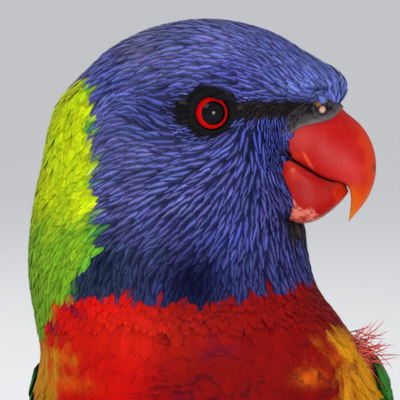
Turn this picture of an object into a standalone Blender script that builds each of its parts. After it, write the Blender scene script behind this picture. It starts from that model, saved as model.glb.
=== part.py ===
"""Rainbow lorikeet, life size, standing on the floor with its head turned over its left shoulder.

The bird's body faces +X, its left side is +Y and the floor is z = 0. The head is turned a quarter
turn, so the bill points to +Y. Sizes are in millimetres until the last step, which turns the meshes
into metres and puts the middle of the footprint at the origin.

Head, neck, torso and the covert cone at the root of the tail are lengths of one form, parted by
thin gaps. Wing and tail feathers are overlapping vanes joined into one closed body for each node.
"""

import math
from dataclasses import dataclass

import bmesh
import bpy
import numpy as np
from mathutils import Matrix, Vector

# Driving sizes, in millimetres and degrees
EYE_HEIGHT = 150.0
EYE_SIDE = 0.8
PART_GAP = 0.3
BODY_SIDES = 30

EYE_RADIUS = 4.3
EYE_DEPTH = 11.3
EYE_FORWARD = 12.0
LID_RING_RADIUS = 3.95
LID_THICKNESS = 0.75
LID_DEPTH = 15.0
SOCKET_RADIUS = 4.95

CULMEN_RADIUS = 12.6
CULMEN_CENTRE = (19.0, -10.6)
CULMEN_START = 63.0
CULMEN_END = -55.5
NOSTRIL_RADIUS = 0.9

WING_GAP = 1.05
WING_LENGTH = 150.0
SHOULDER_START = 4.0
RIGHT_WING_DROP = 3.0
VANE_THICKNESS = 0.6
EDGE_THICKNESS = 0.4
TIER_STEP = 0.24

TAIL_LENGTH = 124.0
TAIL_ROOT = (-56.0, 33.5)
TAIL_REST = 1.0
TAIL_PAIRS = 6

HIP_SIDE = 15.0
ANKLE = (-30.0, 19.5)
FOOT = (-19.0, 3.0)
TOE_RADIUS = 1.95
PAD_RADIUS = 3.3
PAD_HEIGHT = 2.4
CLAW_LENGTH = 6.6


@dataclass(frozen=True)
class Section:
    """A slice across the body: its centre, how far it leans back, and its reach each way.

    fullness is 2 for an oval slice, and more where the left half of the slice is squarer.
    """

    x: float
    y: float
    z: float
    lean: float
    front: float
    back: float
    left: float
    right: float
    fullness: float = 2.0


def head_section(rise, fore, aft, half_width, middle=None, fullness=2.0):
    """A level slice through the turned head or the neck.

    rise is the height over the eye. fore and aft are its ends along the bill's direction, measured
    from the eye. The slice is widest at middle, which is halfway between the ends if left out.
    """
    middle = (fore + aft) / 2 if middle is None else middle
    centre = (0.0, EYE_SIDE + middle, EYE_HEIGHT + rise)
    return Section(*centre, 0.0, half_width, half_width, fore - middle, middle - aft, fullness)


HEAD_AND_NECK = [
    head_section(17.9, -1.6, -1.6, 0.0),
    head_section(17.2, 5.0, -8.6, 6.6),
    head_section(15.2, 11.4, -15.2, 10.4),
    head_section(12.0, 16.9, -21.0, 13.2),
    head_section(8.2, 22.8, -25.2, 14.9, -3.0),
    head_section(5.2, 25.4, -28.2, 15.5, -4.0),
    head_section(3.2, 22.6, -30.0, 15.7, -5.0, 2.1),
    head_section(0.8, 17.4, -31.4, 15.9, -6.0, 2.2),
    head_section(-3.6, 15.0, -32.9, 16.4, -7.0, 2.4),
    head_section(-10.0, 14.2, -34.1, 17.0, -8.0, 2.5),
    head_section(-16.0, 15.2, -35.4, 17.7, -8.5, 2.4),
    head_section(-21.5, 17.2, -36.3, 18.4, -8.8, 2.2),
    head_section(-28.0, 18.1, -36.8, 19.8),
    head_section(-34.0, 19.6, -36.6, 21.6),
    head_section(-41.0, 24.6, -35.4, 24.2),
    head_section(-47.5, 28.8, -34.4, 26.2),
]
TRUNK = [
    Section(-3.0, 0.0, 94.5, 12.0, 28.0, 25.5, 31.4, 33.6),
    Section(-11.0, 0.0, 78.0, 28.0, 31.5, 26.5, 32.0, 32.6),
    Section(-24.0, 0.0, 62.0, 38.0, 31.5, 25.0, 31.0, 31.2),
    Section(-39.0, 0.0, 48.5, 46.0, 26.5, 21.0, 27.2, 27.2),
    Section(-54.0, 0.0, 38.5, 56.0, 18.0, 15.5, 20.5, 20.5),
    Section(-68.0, 0.0, 32.0, 66.0, 10.0, 9.5, 13.5, 13.5),
    Section(-85.0, 0.0, 25.6, 70.0, 0.0, 0.0, 0.0, 0.0),
]

# The form that the folded wings wrap: the trunk's own slices, carried on over the tail
WING_BED = [
    Section(3.0, 0.0, 103.0, 4.0, 26.4, 26.4, 31.4, 35.0),
    Section(-3.0, 0.0, 94.5, 12.0, 28.4, 26.0, 31.6, 34.2),
    Section(-11.0, 0.0, 78.0, 28.0, 31.5, 26.5, 32.2, 32.8),
    Section(-24.0, 0.0, 62.0, 38.0, 31.5, 25.2, 31.2, 31.4),
    Section(-39.0, 0.0, 48.5, 46.0, 26.5, 21.6, 27.6, 27.6),
    Section(-56.0, 0.0, 37.5, 58.0, 18.0, 17.0, 22.0, 22.0),
    Section(-78.0, 0.0, 27.0, 67.0, 10.0, 13.0, 17.0, 17.0),
    Section(-100.0, 0.0, 18.0, 70.0, 8.0, 9.5, 13.5, 13.5),
    Section(-126.0, 0.0, 9.5, 73.0, 6.0, 7.0, 10.5, 10.5),
]

# Where the body is parted, as heights of the slice on the spine from the floor, or x for the last
HEAD_END = EYE_HEIGHT - 22.0
NECK_END = EYE_HEIGHT - 39.0
TORSO_END_X = -57.0


@dataclass(frozen=True)
class Finish:
    """The plain colour of one material, with its roughness and how far it is a metal."""

    colour: tuple
    roughness: float
    metallic: float = 0.0


FINISHES = {
    "head_plumage": Finish((0.075, 0.070, 0.400), 0.60),
    "breast_plumage": Finish((0.620, 0.030, 0.015), 0.62),
    "neck_plumage": Finish((0.060, 0.075, 0.330), 0.60),
    "wing_plumage": Finish((0.045, 0.260, 0.035), 0.50),
    "tail_plumage": Finish((0.050, 0.270, 0.040), 0.50),
    "thigh_plumage": Finish((0.190, 0.300, 0.030), 0.60),
    "bill_horn": Finish((0.640, 0.045, 0.020), 0.32),
    "cere_skin": Finish((0.060, 0.045, 0.048), 0.55),
    "eye_gloss": Finish((0.450, 0.010, 0.006), 0.08),
    "lid_skin": Finish((0.016, 0.016, 0.018), 0.50),
    "leg_skin": Finish((0.150, 0.150, 0.160), 0.60),
    "claw_horn": Finish((0.030, 0.030, 0.032), 0.35),
}


def hermite(knots, values, at):
    """The smooth curve through the rows of values at knots, read at each of at."""
    slopes = np.gradient(values, knots, axis=0)
    at = np.atleast_1d(np.asarray(at, float))
    i = np.clip(np.searchsorted(knots, at, side="right") - 1, 0, len(knots) - 2)
    width = (knots[i + 1] - knots[i])[:, None]
    t = (at - knots[i])[:, None] / width
    start = (2 * t**3 - 3 * t**2 + 1) * values[i] + (t**3 - 2 * t**2 + t) * width * slopes[i]
    end = (3 * t**2 - 2 * t**3) * values[i + 1] + (t**3 - t**2) * width * slopes[i + 1]
    return start + end


class Form:
    """A smooth closed form through a list of slices, closed in a point where a slice has no reach."""

    def __init__(self, sections):
        rows = np.array([[getattr(s, f) for f in Section.__dataclass_fields__] for s in sections])
        rows = self.with_poles(rows)
        reach = rows[:, 4:8].mean(axis=1)
        steps = np.hypot(np.linalg.norm(np.diff(rows[:, :3], axis=0), axis=1), np.diff(reach))
        self.rows = rows
        self.knots = np.concatenate([[0.0], np.cumsum(steps)])
        self.first = self.knots[1] if reach[0] < 0 else 0.0
        self.last = self.knots[-2] if reach[-1] < 0 else self.knots[-1]

    @staticmethod
    def with_poles(rows):
        """Adds a mirrored slice past each end that closes, so that the form is round there."""
        mirror = np.array([1, 1, 1, 1, -1, -1, -1, -1, 1])
        if rows[0, 4:8].max() == 0:
            rows = np.vstack([rows[1] * mirror, rows])
            rows[0, :2] = 2 * rows[1, :2] - rows[2, :2]
        if rows[-1, 4:8].max() == 0:
            rows = np.vstack([rows, rows[-2] * mirror])
        return rows

    def at(self, v):
        """The slices at distances v along the form."""
        return hermite(self.knots, self.rows, v)

    def ring(self, v, sides=BODY_SIDES, grow=0.0):
        """Points round the slice at v, starting at the front and turning to the left."""
        x, y, z, lean, front, back, left, right, fullness = self.at(v)[0]
        turn = np.linspace(0, 2 * math.pi, sides, endpoint=False)
        across = np.where(np.cos(turn) >= 0, front, back) + grow
        aside = np.where(np.sin(turn) >= 0, left, right) + grow
        power = np.where(np.sin(turn) >= 0, fullness, 2.0)
        across, aside = np.maximum(across, 1e-6), np.maximum(aside, 1e-6)
        reach = (np.abs(np.cos(turn)) / across) ** power + (np.abs(np.sin(turn)) / aside) ** power
        reach = reach ** (-1 / power)
        tip = math.radians(lean)
        forward = np.array([math.cos(tip), 0.0, -math.sin(tip)])
        sideways = np.array([0.0, 1.0, 0.0])
        centre = np.array([x, y, z])
        return centre + np.outer(reach * np.cos(turn), forward) + np.outer(reach * np.sin(turn), sideways)

    def where(self, column, value):
        """The distance along the form where a column of its slices passes value."""
        tries = np.linspace(self.first, self.last, 4000)
        found = self.at(tries)[:, column]
        return float(tries[np.argmin(np.abs(found - value))])

    def length_of(self, start, end, spacing, sides=BODY_SIDES, grow=0.0):
        """Rings from start to end, about spacing apart."""
        count = max(2, round((end - start) / spacing) + 1)
        return [self.ring(v, sides, grow) for v in np.linspace(start, end, count)]


def new_object(name, points, faces, finish=None):
    """A closed mesh object, in millimetres, with its faces turned outwards."""
    mesh = bpy.data.meshes.new(name)
    mesh.from_pydata([tuple(p) for p in points], [], faces)
    made = bpy.data.objects.new(name, mesh)
    PARTS.objects.link(made)
    shape = bmesh.new()
    shape.from_mesh(mesh)
    bmesh.ops.remove_doubles(shape, verts=shape.verts, dist=1e-4)
    bmesh.ops.recalc_face_normals(shape, faces=shape.faces)
    shape.to_mesh(mesh)
    shape.free()
    if finish:
        dress(made, finish)
    return made


def loft(name, rings, finish=None, thin=False):
    """A closed skin over rings of as many points each, with flat ends.

    A thin loft has rings of an upper and a lower row of points, and its quads are split alike above
    and below, so that the two faces can't cross.
    """
    rings = [np.asarray(r, float) for r in rings]
    sides = len(rings[0])
    points = np.vstack(rings)
    faces = []
    for i in range(len(rings) - 1):
        for j in range(sides):
            k = (j + 1) % sides
            a, b = i * sides + j, i * sides + k
            c, d = a + sides, b + sides
            if thin and j >= sides // 2:
                faces += [(a, b, c), (b, d, c)]
            else:
                faces += [(a, b, d), (a, d, c)]
    faces.append(tuple(range(sides)))
    faces.append(tuple(range(len(points) - sides, len(points))))
    return new_object(name, points, faces, finish)


def new_primitive(name, make, finish=None, **sizes):
    """A closed mesh object from one of bmesh's primitive operators."""
    shape = bmesh.new()
    make(shape, **sizes)
    mesh = bpy.data.meshes.new(name)
    shape.to_mesh(mesh)
    shape.free()
    made = bpy.data.objects.new(name, mesh)
    PARTS.objects.link(made)
    if finish:
        dress(made, finish)
    return made


def frame_along(axis, spot):
    """The matrix that sets a primitive's own Z along axis, and its middle at spot."""
    turn = Vector(axis).to_track_quat("Z", "Y").to_matrix().to_4x4()
    return Matrix.Translation(Vector(spot)) @ turn


def select_only(obj):
    """Makes obj the one selected and active object."""
    for other in bpy.context.selected_objects:
        other.select_set(False)
    obj.select_set(True)
    bpy.context.view_layer.objects.active = obj


def carve(target, tool, operation="DIFFERENCE"):
    """Applies one Boolean of tool on target, and removes tool."""
    bool_step = target.modifiers.new(operation.lower(), "BOOLEAN")
    bool_step.operation = operation
    bool_step.solver = "EXACT"
    bool_step.object = tool
    select_only(target)
    bpy.ops.object.modifier_apply(modifier=bool_step.name)
    bpy.data.objects.remove(tool)
    return target


def fuse(target, pieces):
    """Joins closed pieces to target in one union, and keeps the largest closed surface."""
    bundle = bpy.data.collections.new(f"{target.name}_pieces")
    bpy.context.scene.collection.children.link(bundle)
    for piece in pieces:
        PARTS.objects.unlink(piece)
        bundle.objects.link(piece)
    union = target.modifiers.new("union", "BOOLEAN")
    union.operation = "UNION"
    union.solver = "MANIFOLD"
    union.operand_type = "COLLECTION"
    union.collection = bundle
    select_only(target)
    bpy.ops.object.modifier_apply(modifier=union.name)
    for piece in list(bundle.objects):
        bpy.data.objects.remove(piece)
    bpy.data.collections.remove(bundle)
    keep_largest(target)
    return target


def keep_largest(obj):
    """Leaves only the closed surface of obj that holds the most."""
    shape = bmesh.new()
    shape.from_mesh(obj.data)
    left, groups = set(shape.verts), []
    while left:
        group, edge = set(), [left.pop()]
        while edge:
            vert = edge.pop()
            group.add(vert)
            near = {e.other_vert(vert) for e in vert.link_edges} & left
            left -= near
            edge += near
        groups.append(group)
    if len(groups) > 1:
        largest = max(groups, key=lambda g: bounding_volume([v.co for v in g]))
        spare = [v for group in groups if group is not largest for v in group]
        bmesh.ops.delete(shape, geom=spare, context="VERTS")
    shape.to_mesh(obj.data)
    shape.free()


def bounding_volume(points):
    """The volume of the box round points."""
    spread = np.ptp(np.array([tuple(p) for p in points]), axis=0)
    return float(np.prod(spread))


def dress(obj, finish):
    """Gives obj the material of a finish, made once."""
    material = bpy.data.materials.get(finish)
    if material is None:
        look = FINISHES[finish]
        material = bpy.data.materials.new(finish)
        material.use_nodes = True
        shader = material.node_tree.nodes["Principled BSDF"]
        shader.inputs["Base Color"].default_value = (*look.colour, 1.0)
        shader.inputs["Roughness"].default_value = look.roughness
        shader.inputs["Metallic"].default_value = look.metallic
    obj.data.materials.clear()
    obj.data.materials.append(material)


def shade(obj, angle=35.0):
    """Smooth shading, with edges sharper than angle left sharp."""
    obj.data.shade_smooth()
    obj.data.set_sharp_from_angle(angle=math.radians(angle))


# Body


def make_body():
    """Head, neck and torso, and the covert cone that the tail's feathers grow from."""
    form = Form(HEAD_AND_NECK + TRUNK)
    head_end = form.where(2, HEAD_END)
    neck_end = form.where(2, NECK_END)
    torso_end = form.where(0, TORSO_END_X)
    half_gap = PART_GAP / 2
    head = loft("head", form.length_of(form.first, head_end - half_gap, 3.3), "head_plumage")
    neck = loft("neck", form.length_of(head_end + half_gap, neck_end - half_gap, 4.5), "neck_plumage")
    torso = loft("torso", form.length_of(neck_end + half_gap, torso_end - half_gap, 5.5), "breast_plumage")
    cone = loft("tail", form.length_of(torso_end + half_gap, form.last, 5.5, 20), "tail_plumage")
    return form, head, neck, torso, cone


def face_point(fore, rise, aside=0.0):
    """A point of the head from its place ahead of the eye, over the eye, and to the head's right."""
    return np.array([aside, EYE_SIDE + fore, EYE_HEIGHT + rise])


# Eyes


def eye_axis(side):
    """The way that an eye looks. side is 1 for the head's right eye, which faces +X."""
    turn = math.radians(EYE_FORWARD)
    return np.array([side * math.cos(turn), math.sin(turn), 0.0])


def make_eye(head, side):
    """An eyeball, its ring of lid, and the socket cut for them in the head."""
    word = "right" if side > 0 else "left"
    axis = eye_axis(side)
    root = face_point(-EYE_DEPTH * math.tan(math.radians(EYE_FORWARD)), 0.0)
    ball = frame_along(axis, root + axis * EYE_DEPTH)
    make = bmesh.ops.create_uvsphere
    sizes = {"u_segments": 14, "v_segments": 10, "radius": EYE_RADIUS}
    eye = new_primitive(f"eye_{word}", make, "eye_gloss", matrix=ball, **sizes)

    bpy.ops.mesh.primitive_torus_add(
        major_segments=18, minor_segments=6, major_radius=LID_RING_RADIUS, minor_radius=LID_THICKNESS
    )
    lid = bpy.context.object
    lid.name = lid.data.name = f"eyelid_{word}"
    lid.data.transform(frame_along(axis, root + axis * LID_DEPTH))
    for collection in lid.users_collection:
        collection.objects.unlink(lid)
    PARTS.objects.link(lid)
    dress(lid, "lid_skin")

    floor = EYE_DEPTH - EYE_RADIUS - PART_GAP
    depth = LID_DEPTH + 6.0 - floor
    sizes = {"cap_ends": True, "segments": 20, "radius1": SOCKET_RADIUS, "radius2": SOCKET_RADIUS}
    pit = frame_along(axis, root + axis * (floor + depth / 2))
    carve(head, new_primitive("socket", bmesh.ops.create_cone, depth=depth, matrix=pit, **sizes))
    return eye


# Bill and cere


def culmen(degrees):
    """A point of the bill's ridge, by its angle round the ridge's own circle."""
    turn = math.radians(degrees)
    return (
        CULMEN_CENTRE[0] + CULMEN_RADIUS * math.cos(turn),
        CULMEN_CENTRE[1] + CULMEN_RADIUS * math.sin(turn),
    )


# Each slice of the upper bill and cere: its top and bottom in the head's middle plane, half width
UPPER_BILL = [
    ((11.4, 3.0), (11.6, -9.0), 5.4),
    ((15.0, 3.2), (14.4, -9.2), 6.7),
    ((18.4, 3.8), (16.8, -10.0), 7.0),
    ((21.4, 3.9), (18.9, -11.3), 6.9),
    ((24.0, 3.2), (20.8, -12.5), 6.6),
    (culmen(66.0), (22.4, -13.1), 6.2),
    (culmen(47.0), (23.8, -13.4), 5.9),
    (culmen(27.0), (25.2, -13.8), 5.4),
    (culmen(8.0), (26.1, -14.6), 4.7),
    (culmen(-10.0), (26.6, -16.0), 3.8),
    (culmen(-26.0), (26.6, -17.6), 2.8),
    (culmen(-40.0), (26.4, -19.2), 1.8),
    (culmen(-50.0), (26.2, -20.4), 0.9),
    (culmen(-55.0), (26.15, -21.0), 0.12),
]
LOWER_BILL = [
    ((11.6, -9.9), (11.6, -16.6), 4.9),
    ((14.2, -9.8), (14.4, -18.9), 6.0),
    ((16.6, -10.4), (17.0, -20.6), 6.2),
    ((18.8, -11.75), (19.6, -20.0), 5.9),
    ((20.8, -12.95), (21.8, -18.9), 5.3),
    ((22.6, -13.6), (23.8, -17.5), 4.5),
    ((24.2, -14.0), (25.1, -16.2), 3.2),
    ((25.4, -14.5), (25.7, -15.4), 1.4),
]

# The line in the middle plane where the cere ends and the horn of the bill starts
CERE_EDGE = (
    (28.0, 2.4),
    (25.3, 1.2),
    (24.2, -0.4),
    (22.9, -1.4),
    (21.1, -2.1),
    (19.2, -2.4),
    (17.2, -2.9),
    (15.9, -3.8),
    (15.1, -5.1),
    (14.6, -6.9),
    (14.4, -10.5),
)

# Half of a bill slice, from its flat side to its ridge, as (share of half width, share of height)
BILL_PROFILE = (
    (0.0, 0.0),
    (0.62, 0.0),
    (0.93, 0.04),
    (1.0, 0.2),
    (0.96, 0.45),
    (0.82, 0.68),
    (0.52, 0.88),
    (0.0, 1.0),
)


def bill_rings(slices, keel):
    """Rings over a list of bill slices. keel is 1 with the ridge at the top, and -1 the other way."""
    right = np.array(BILL_PROFILE)
    left = right[-2:0:-1] * (-1, 1)
    rings = []
    for top, bottom, half_width in slices:
        ridge, flat = (np.array(top), np.array(bottom)) if keel > 0 else (np.array(bottom), np.array(top))
        ring = []
        for spread, share in np.vstack([right, left]):
            fore, rise = flat + (ridge - flat) * share
            ring.append(face_point(fore, rise, half_width * spread))
        rings.append(ring)
    return rings


def cere_block(gap):
    """A block across the head that holds the cere, its edge moved by gap towards the horn."""
    line = np.array(CERE_EDGE)
    heading = np.gradient(line, axis=0)
    normal = np.column_stack([-heading[:, 1], heading[:, 0]])
    normal /= np.linalg.norm(normal, axis=1)[:, None]
    line = line + normal * gap
    outline = [*line, (9.0, line[-1][1]), (9.0, 8.0), (30.0, 8.0), (30.0, line[0][1])]

    def extrude(shape):
        side = shape.faces.new([shape.verts.new(face_point(f, r, -12.0)) for f, r in outline])
        moved = bmesh.ops.extrude_face_region(shape, geom=[side])["geom"]
        verts = [item for item in moved if isinstance(item, bmesh.types.BMVert)]
        bmesh.ops.translate(shape, verts=verts, vec=(24.0, 0.0, 0.0))
        bmesh.ops.recalc_face_normals(shape, faces=shape.faces)

    return new_primitive("cere_block", extrude)


def make_bill(form):
    """Both halves of the bill and the cere, each cut clear of the face behind it."""
    face_start = form.where(2, EYE_HEIGHT + 12.0)
    face_end = form.where(2, HEAD_END + 0.5)

    def face():
        rings = form.length_of(face_start, face_end, 3.3, BODY_SIDES, PART_GAP)
        return loft("face_cutter", rings)

    upper = loft("beak_upper", bill_rings(UPPER_BILL, 1), "bill_horn")
    cere = loft("cere", bill_rings(UPPER_BILL, 1), "cere_skin")
    lower = loft("beak_lower", bill_rings(LOWER_BILL, -1), "bill_horn")
    for node in (upper, lower, cere):
        carve(node, face())
    carve(upper, cere_block(PART_GAP / 2))
    carve(cere, cere_block(-PART_GAP / 2), "INTERSECT")
    for side in (1, -1):
        tip = face_point(21.1, 0.6, side * 8.0)
        axis = np.array([side * 0.94, 0.28, 0.1])
        axis /= np.linalg.norm(axis)
        sizes = {"cap_ends": True, "segments": 10, "radius1": NOSTRIL_RADIUS, "radius2": NOSTRIL_RADIUS}
        pit = frame_along(axis, tip - axis * 1.1)
        carve(cere, new_primitive("nostril", bmesh.ops.create_cone, depth=5.4, matrix=pit, **sizes))
    for node in (upper, lower, cere):
        keep_largest(node)


# Feathers


# Shares of a feather's length at which its slices stand
LONG = (0.0, 0.2, 0.4, 0.58, 0.75, 0.9, 1.0)
MIDDLE = (0.0, 0.3, 0.6, 0.86, 1.0)
SHORT = (0.0, 0.4, 0.78, 1.0)
TAPERED = (0.0, 0.35, 0.65, 0.86, 1.0)


@dataclass(frozen=True)
class Vane:
    """One flight or tail feather on a bed: root and tip as (along, across), and its size."""

    root: tuple
    tip: tuple
    half_width: float
    lift: float
    roundness: float
    sweep: float
    stations: tuple


def vane_width(t, roundness):
    """A feather's half width along its length, as a share of the widest."""
    start = 0.5 + 0.5 * np.clip(t / 0.35, 0, 1)
    end = np.clip((1 - t) / 0.42, 0, 1) ** (0.5 + 0.5 * (1 - roundness))
    return np.maximum(start * end, 0.07)


def vane_rings(place, vane):
    """Six-point rings along a feather that lies on a bed. place(along, across, lift) is the bed."""
    rings = []
    step = 1e-3
    for t in vane.stations:
        ease = t * t * (3 - 2 * t) * vane.sweep + t * (1 - vane.sweep)
        along = vane.root[0] + (vane.tip[0] - vane.root[0]) * t
        across = vane.root[1] + (vane.tip[1] - vane.root[1]) * ease
        here = place(along, across, 0.0)
        d_along = (place(along + step, across, 0.0) - here) / step
        d_across = (place(along, across + step, 0.0) - here) / step
        heading = d_along * (vane.tip[0] - vane.root[0]) + d_across * (vane.tip[1] - vane.root[1])
        normal = np.cross(d_along, d_across)
        aside = np.cross(normal, heading)
        aside /= np.linalg.norm(aside)
        shift, *_ = np.linalg.lstsq(np.column_stack([d_along, d_across]), aside, rcond=None)
        width = vane.half_width * float(vane_width(t, vane.roundness))
        left = (along - shift[0] * width, across - shift[1] * width)
        right = (along + shift[0] * width, across + shift[1] * width)
        low, high = vane.lift, vane.lift + VANE_THICKNESS
        edge_low, edge_high = vane.lift, vane.lift + EDGE_THICKNESS
        rings.append(
            [
                place(*left, edge_high),
                place(along, across, high),
                place(*right, edge_high),
                place(*right, edge_low),
                place(along, across, low),
                place(*left, edge_low),
            ]
        )
    return rings


def make_vanes(name, place, vanes):
    """A closed object for each feather."""
    return [loft(f"{name}_{i}", vane_rings(place, vane), thin=True) for i, vane in enumerate(vanes)]


class WingBed:
    """The curved bed that one folded wing lies on. side is 1 on the left and -1 on the right."""

    def __init__(self, side):
        self.side = side
        self.rows = np.array([[getattr(s, f) for f in Section.__dataclass_fields__] for s in WING_BED])
        steps = np.linalg.norm(np.diff(self.rows[:, :3], axis=0), axis=1)
        self.knots = np.concatenate([[0.0], np.cumsum(steps)])

    def place(self, along, across, lift):
        """The point along mm behind the wrist, across degrees from the back's ridge, lift mm out."""
        along += RIGHT_WING_DROP if self.side < 0 else 0.0
        x, y, z, lean, front, back, left, right, _ = hermite(self.knots, self.rows, along)[0]
        tip, turn = math.radians(lean), math.radians(across)
        backward = np.array([-math.cos(tip), 0.0, math.sin(tip)])
        sideways = np.array([0.0, self.side, 0.0])
        depth = (back if math.cos(turn) >= 0 else front) + WING_GAP + lift
        width = (left if self.side > 0 else right) + WING_GAP + lift
        centre = np.array([x, y, z])
        return centre + backward * depth * math.cos(turn) + sideways * width * math.sin(turn)


def wing_vanes():
    """The feathers of a folded wing, outermost and lowest first, each tier above the last."""
    vanes = []
    primaries, secondaries, tertials, greater, median = 6, 6, 2, 5, 4
    for i in range(primaries):
        short = 5.0 if i == 0 else 2.2 * (i - 1) ** 1.85
        root = (38.0 - 0.6 * i, 97.0 - 3.6 * i)
        tip = (WING_LENGTH - short, 46.0 - 3.8 * i)
        vanes.append(Vane(root, tip, 6.6, TIER_STEP * i, 0.35, 0.5, LONG))
    for i in range(secondaries):
        share = i / (secondaries - 1)
        root = (40.0 - 4.0 * share, 88.0 - 56.0 * share)
        tip = (102.0 - 7.0 * share, 60.0 - 42.0 * share)
        vanes.append(Vane(root, tip, 7.2, 1.3 + TIER_STEP * i * 0.6, 0.7, 0.3, MIDDLE))
    for i in range(tertials):
        root = (26.0, 28.0 - 5.0 * i)
        tip = (88.0 - 11.0 * i, 16.0 - 3.0 * i)
        vanes.append(Vane(root, tip, 6.6, 2.1 + TIER_STEP * i, 0.8, 0.3, MIDDLE))
    for i in range(greater):
        share = i / (greater - 1)
        root = (27.0 - 3.0 * share, 96.0 - 62.0 * share)
        tip = (63.0 - 5.0 * share, 86.0 - 62.0 * share)
        vanes.append(Vane(root, tip, 7.4, 2.0 + TIER_STEP * 0.5 * i, 0.85, 0.3, SHORT))
    for i in range(median):
        share = i / (median - 1)
        root = (15.0, 96.0 - 56.0 * share)
        tip = (41.0 - 2.0 * share, 91.0 - 56.0 * share)
        vanes.append(Vane(root, tip, 7.8, 2.6 + TIER_STEP * 0.35 * i, 0.9, 0.3, SHORT))
    return vanes


def shoulder_rings(bed):
    """The wing's solid front: wrist, arm and the small coverts over them."""
    rings = []
    across = np.linspace(0, 1, 9)
    for share in np.linspace(0, 1, 8):
        along = SHOULDER_START + (46.0 - SHOULDER_START) * share
        thick = 0.5 + 2.5 * math.sin(math.pi * min(0.08 + share, 1.0)) ** 0.7
        low = 20.0 + 42.0 * (1 - share) ** 3
        high = 111.0 - 16.0 * share - 24.0 * (1 - share) ** 4
        turns = low + (high - low) * across
        bulge = np.sin(np.pi * across) ** 0.5
        top = [bed.place(along, a, 0.45 + thick * b) for a, b in zip(turns, bulge)]
        bottom = [bed.place(along, a, 0.0) for a in turns[::-1]]
        rings.append(top + bottom)
    return rings


def make_wing(side):
    """One folded wing: its shoulder, with every feather joined to it."""
    word = "left" if side > 0 else "right"
    bed = WingBed(side)
    wing = loft(f"wing_{word}", shoulder_rings(bed), "wing_plumage", thin=True)
    fuse(wing, make_vanes(f"vane_{word}", bed.place, wing_vanes()))
    dress(wing, "wing_plumage")
    return wing


# Tail


def tail_place(along, across, lift):
    """The bed of the tail: it sweeps down from the rump and runs out level on the floor."""
    share = min(max(along / TAIL_LENGTH, -0.2), 1.0)
    drop = (1 - share) ** 1.55
    x = TAIL_ROOT[0] - along * 0.975
    sag = 0.012 * across * across * (1 - share)
    height = TAIL_REST + (TAIL_ROOT[1] - TAIL_REST) * drop + lift - sag
    return np.array([x, across, max(height, 0.0)])


def tail_vanes():
    """Six pairs, each shorter and lying lower than the pair inside it."""
    vanes = []
    for pair in range(TAIL_PAIRS):
        length = TAIL_LENGTH * (1 - 0.012 * pair - 0.0125 * pair**2)
        for side in (1, -1):
            root = (4.0, side * (1.6 + 0.9 * pair))
            tip = (length, side * (1.8 + 1.3 * pair))
            lift = -0.62 * pair - (0.0 if side > 0 else 0.3)
            if pair == 0:
                lift = 0.32 if side > 0 else 0.0
            vanes.append(Vane(root, tip, 6.6 - 0.25 * pair, lift, 0.15, 0.0, TAPERED))
    return vanes


def make_tail(cone):
    """The tail feathers, joined to the cone of coverts that they grow from."""
    fuse(cone, make_vanes("tail_vane", tail_place, tail_vanes()))
    dress(cone, "tail_plumage")
    return cone


# Legs and feet


def tube_rings(path, radii, sides, flatten=1.0, sole=None):
    """Rings of a tube along path. All that lies below the height sole is laid on the floor."""
    path = np.asarray(path, float)
    heading = np.gradient(path, axis=0)
    rings = []
    for spot, way, radius in zip(path, heading, radii):
        way = way / np.linalg.norm(way)
        side = np.cross(way, [0.0, 0.0, 1.0])
        if np.linalg.norm(side) < 0.2:
            side = np.cross(way, [1.0, 0.0, 0.0])
        side /= np.linalg.norm(side)
        up = np.cross(side, way)
        turn = np.linspace(0, 2 * math.pi, sides, endpoint=False) + math.pi / sides
        ring = spot + radius * (np.outer(np.cos(turn), side) + flatten * np.outer(np.sin(turn), up))
        if sole is not None:
            ring[ring[:, 2] < sole, 2] = 0.0
        rings.append(ring)
    return rings


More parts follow.
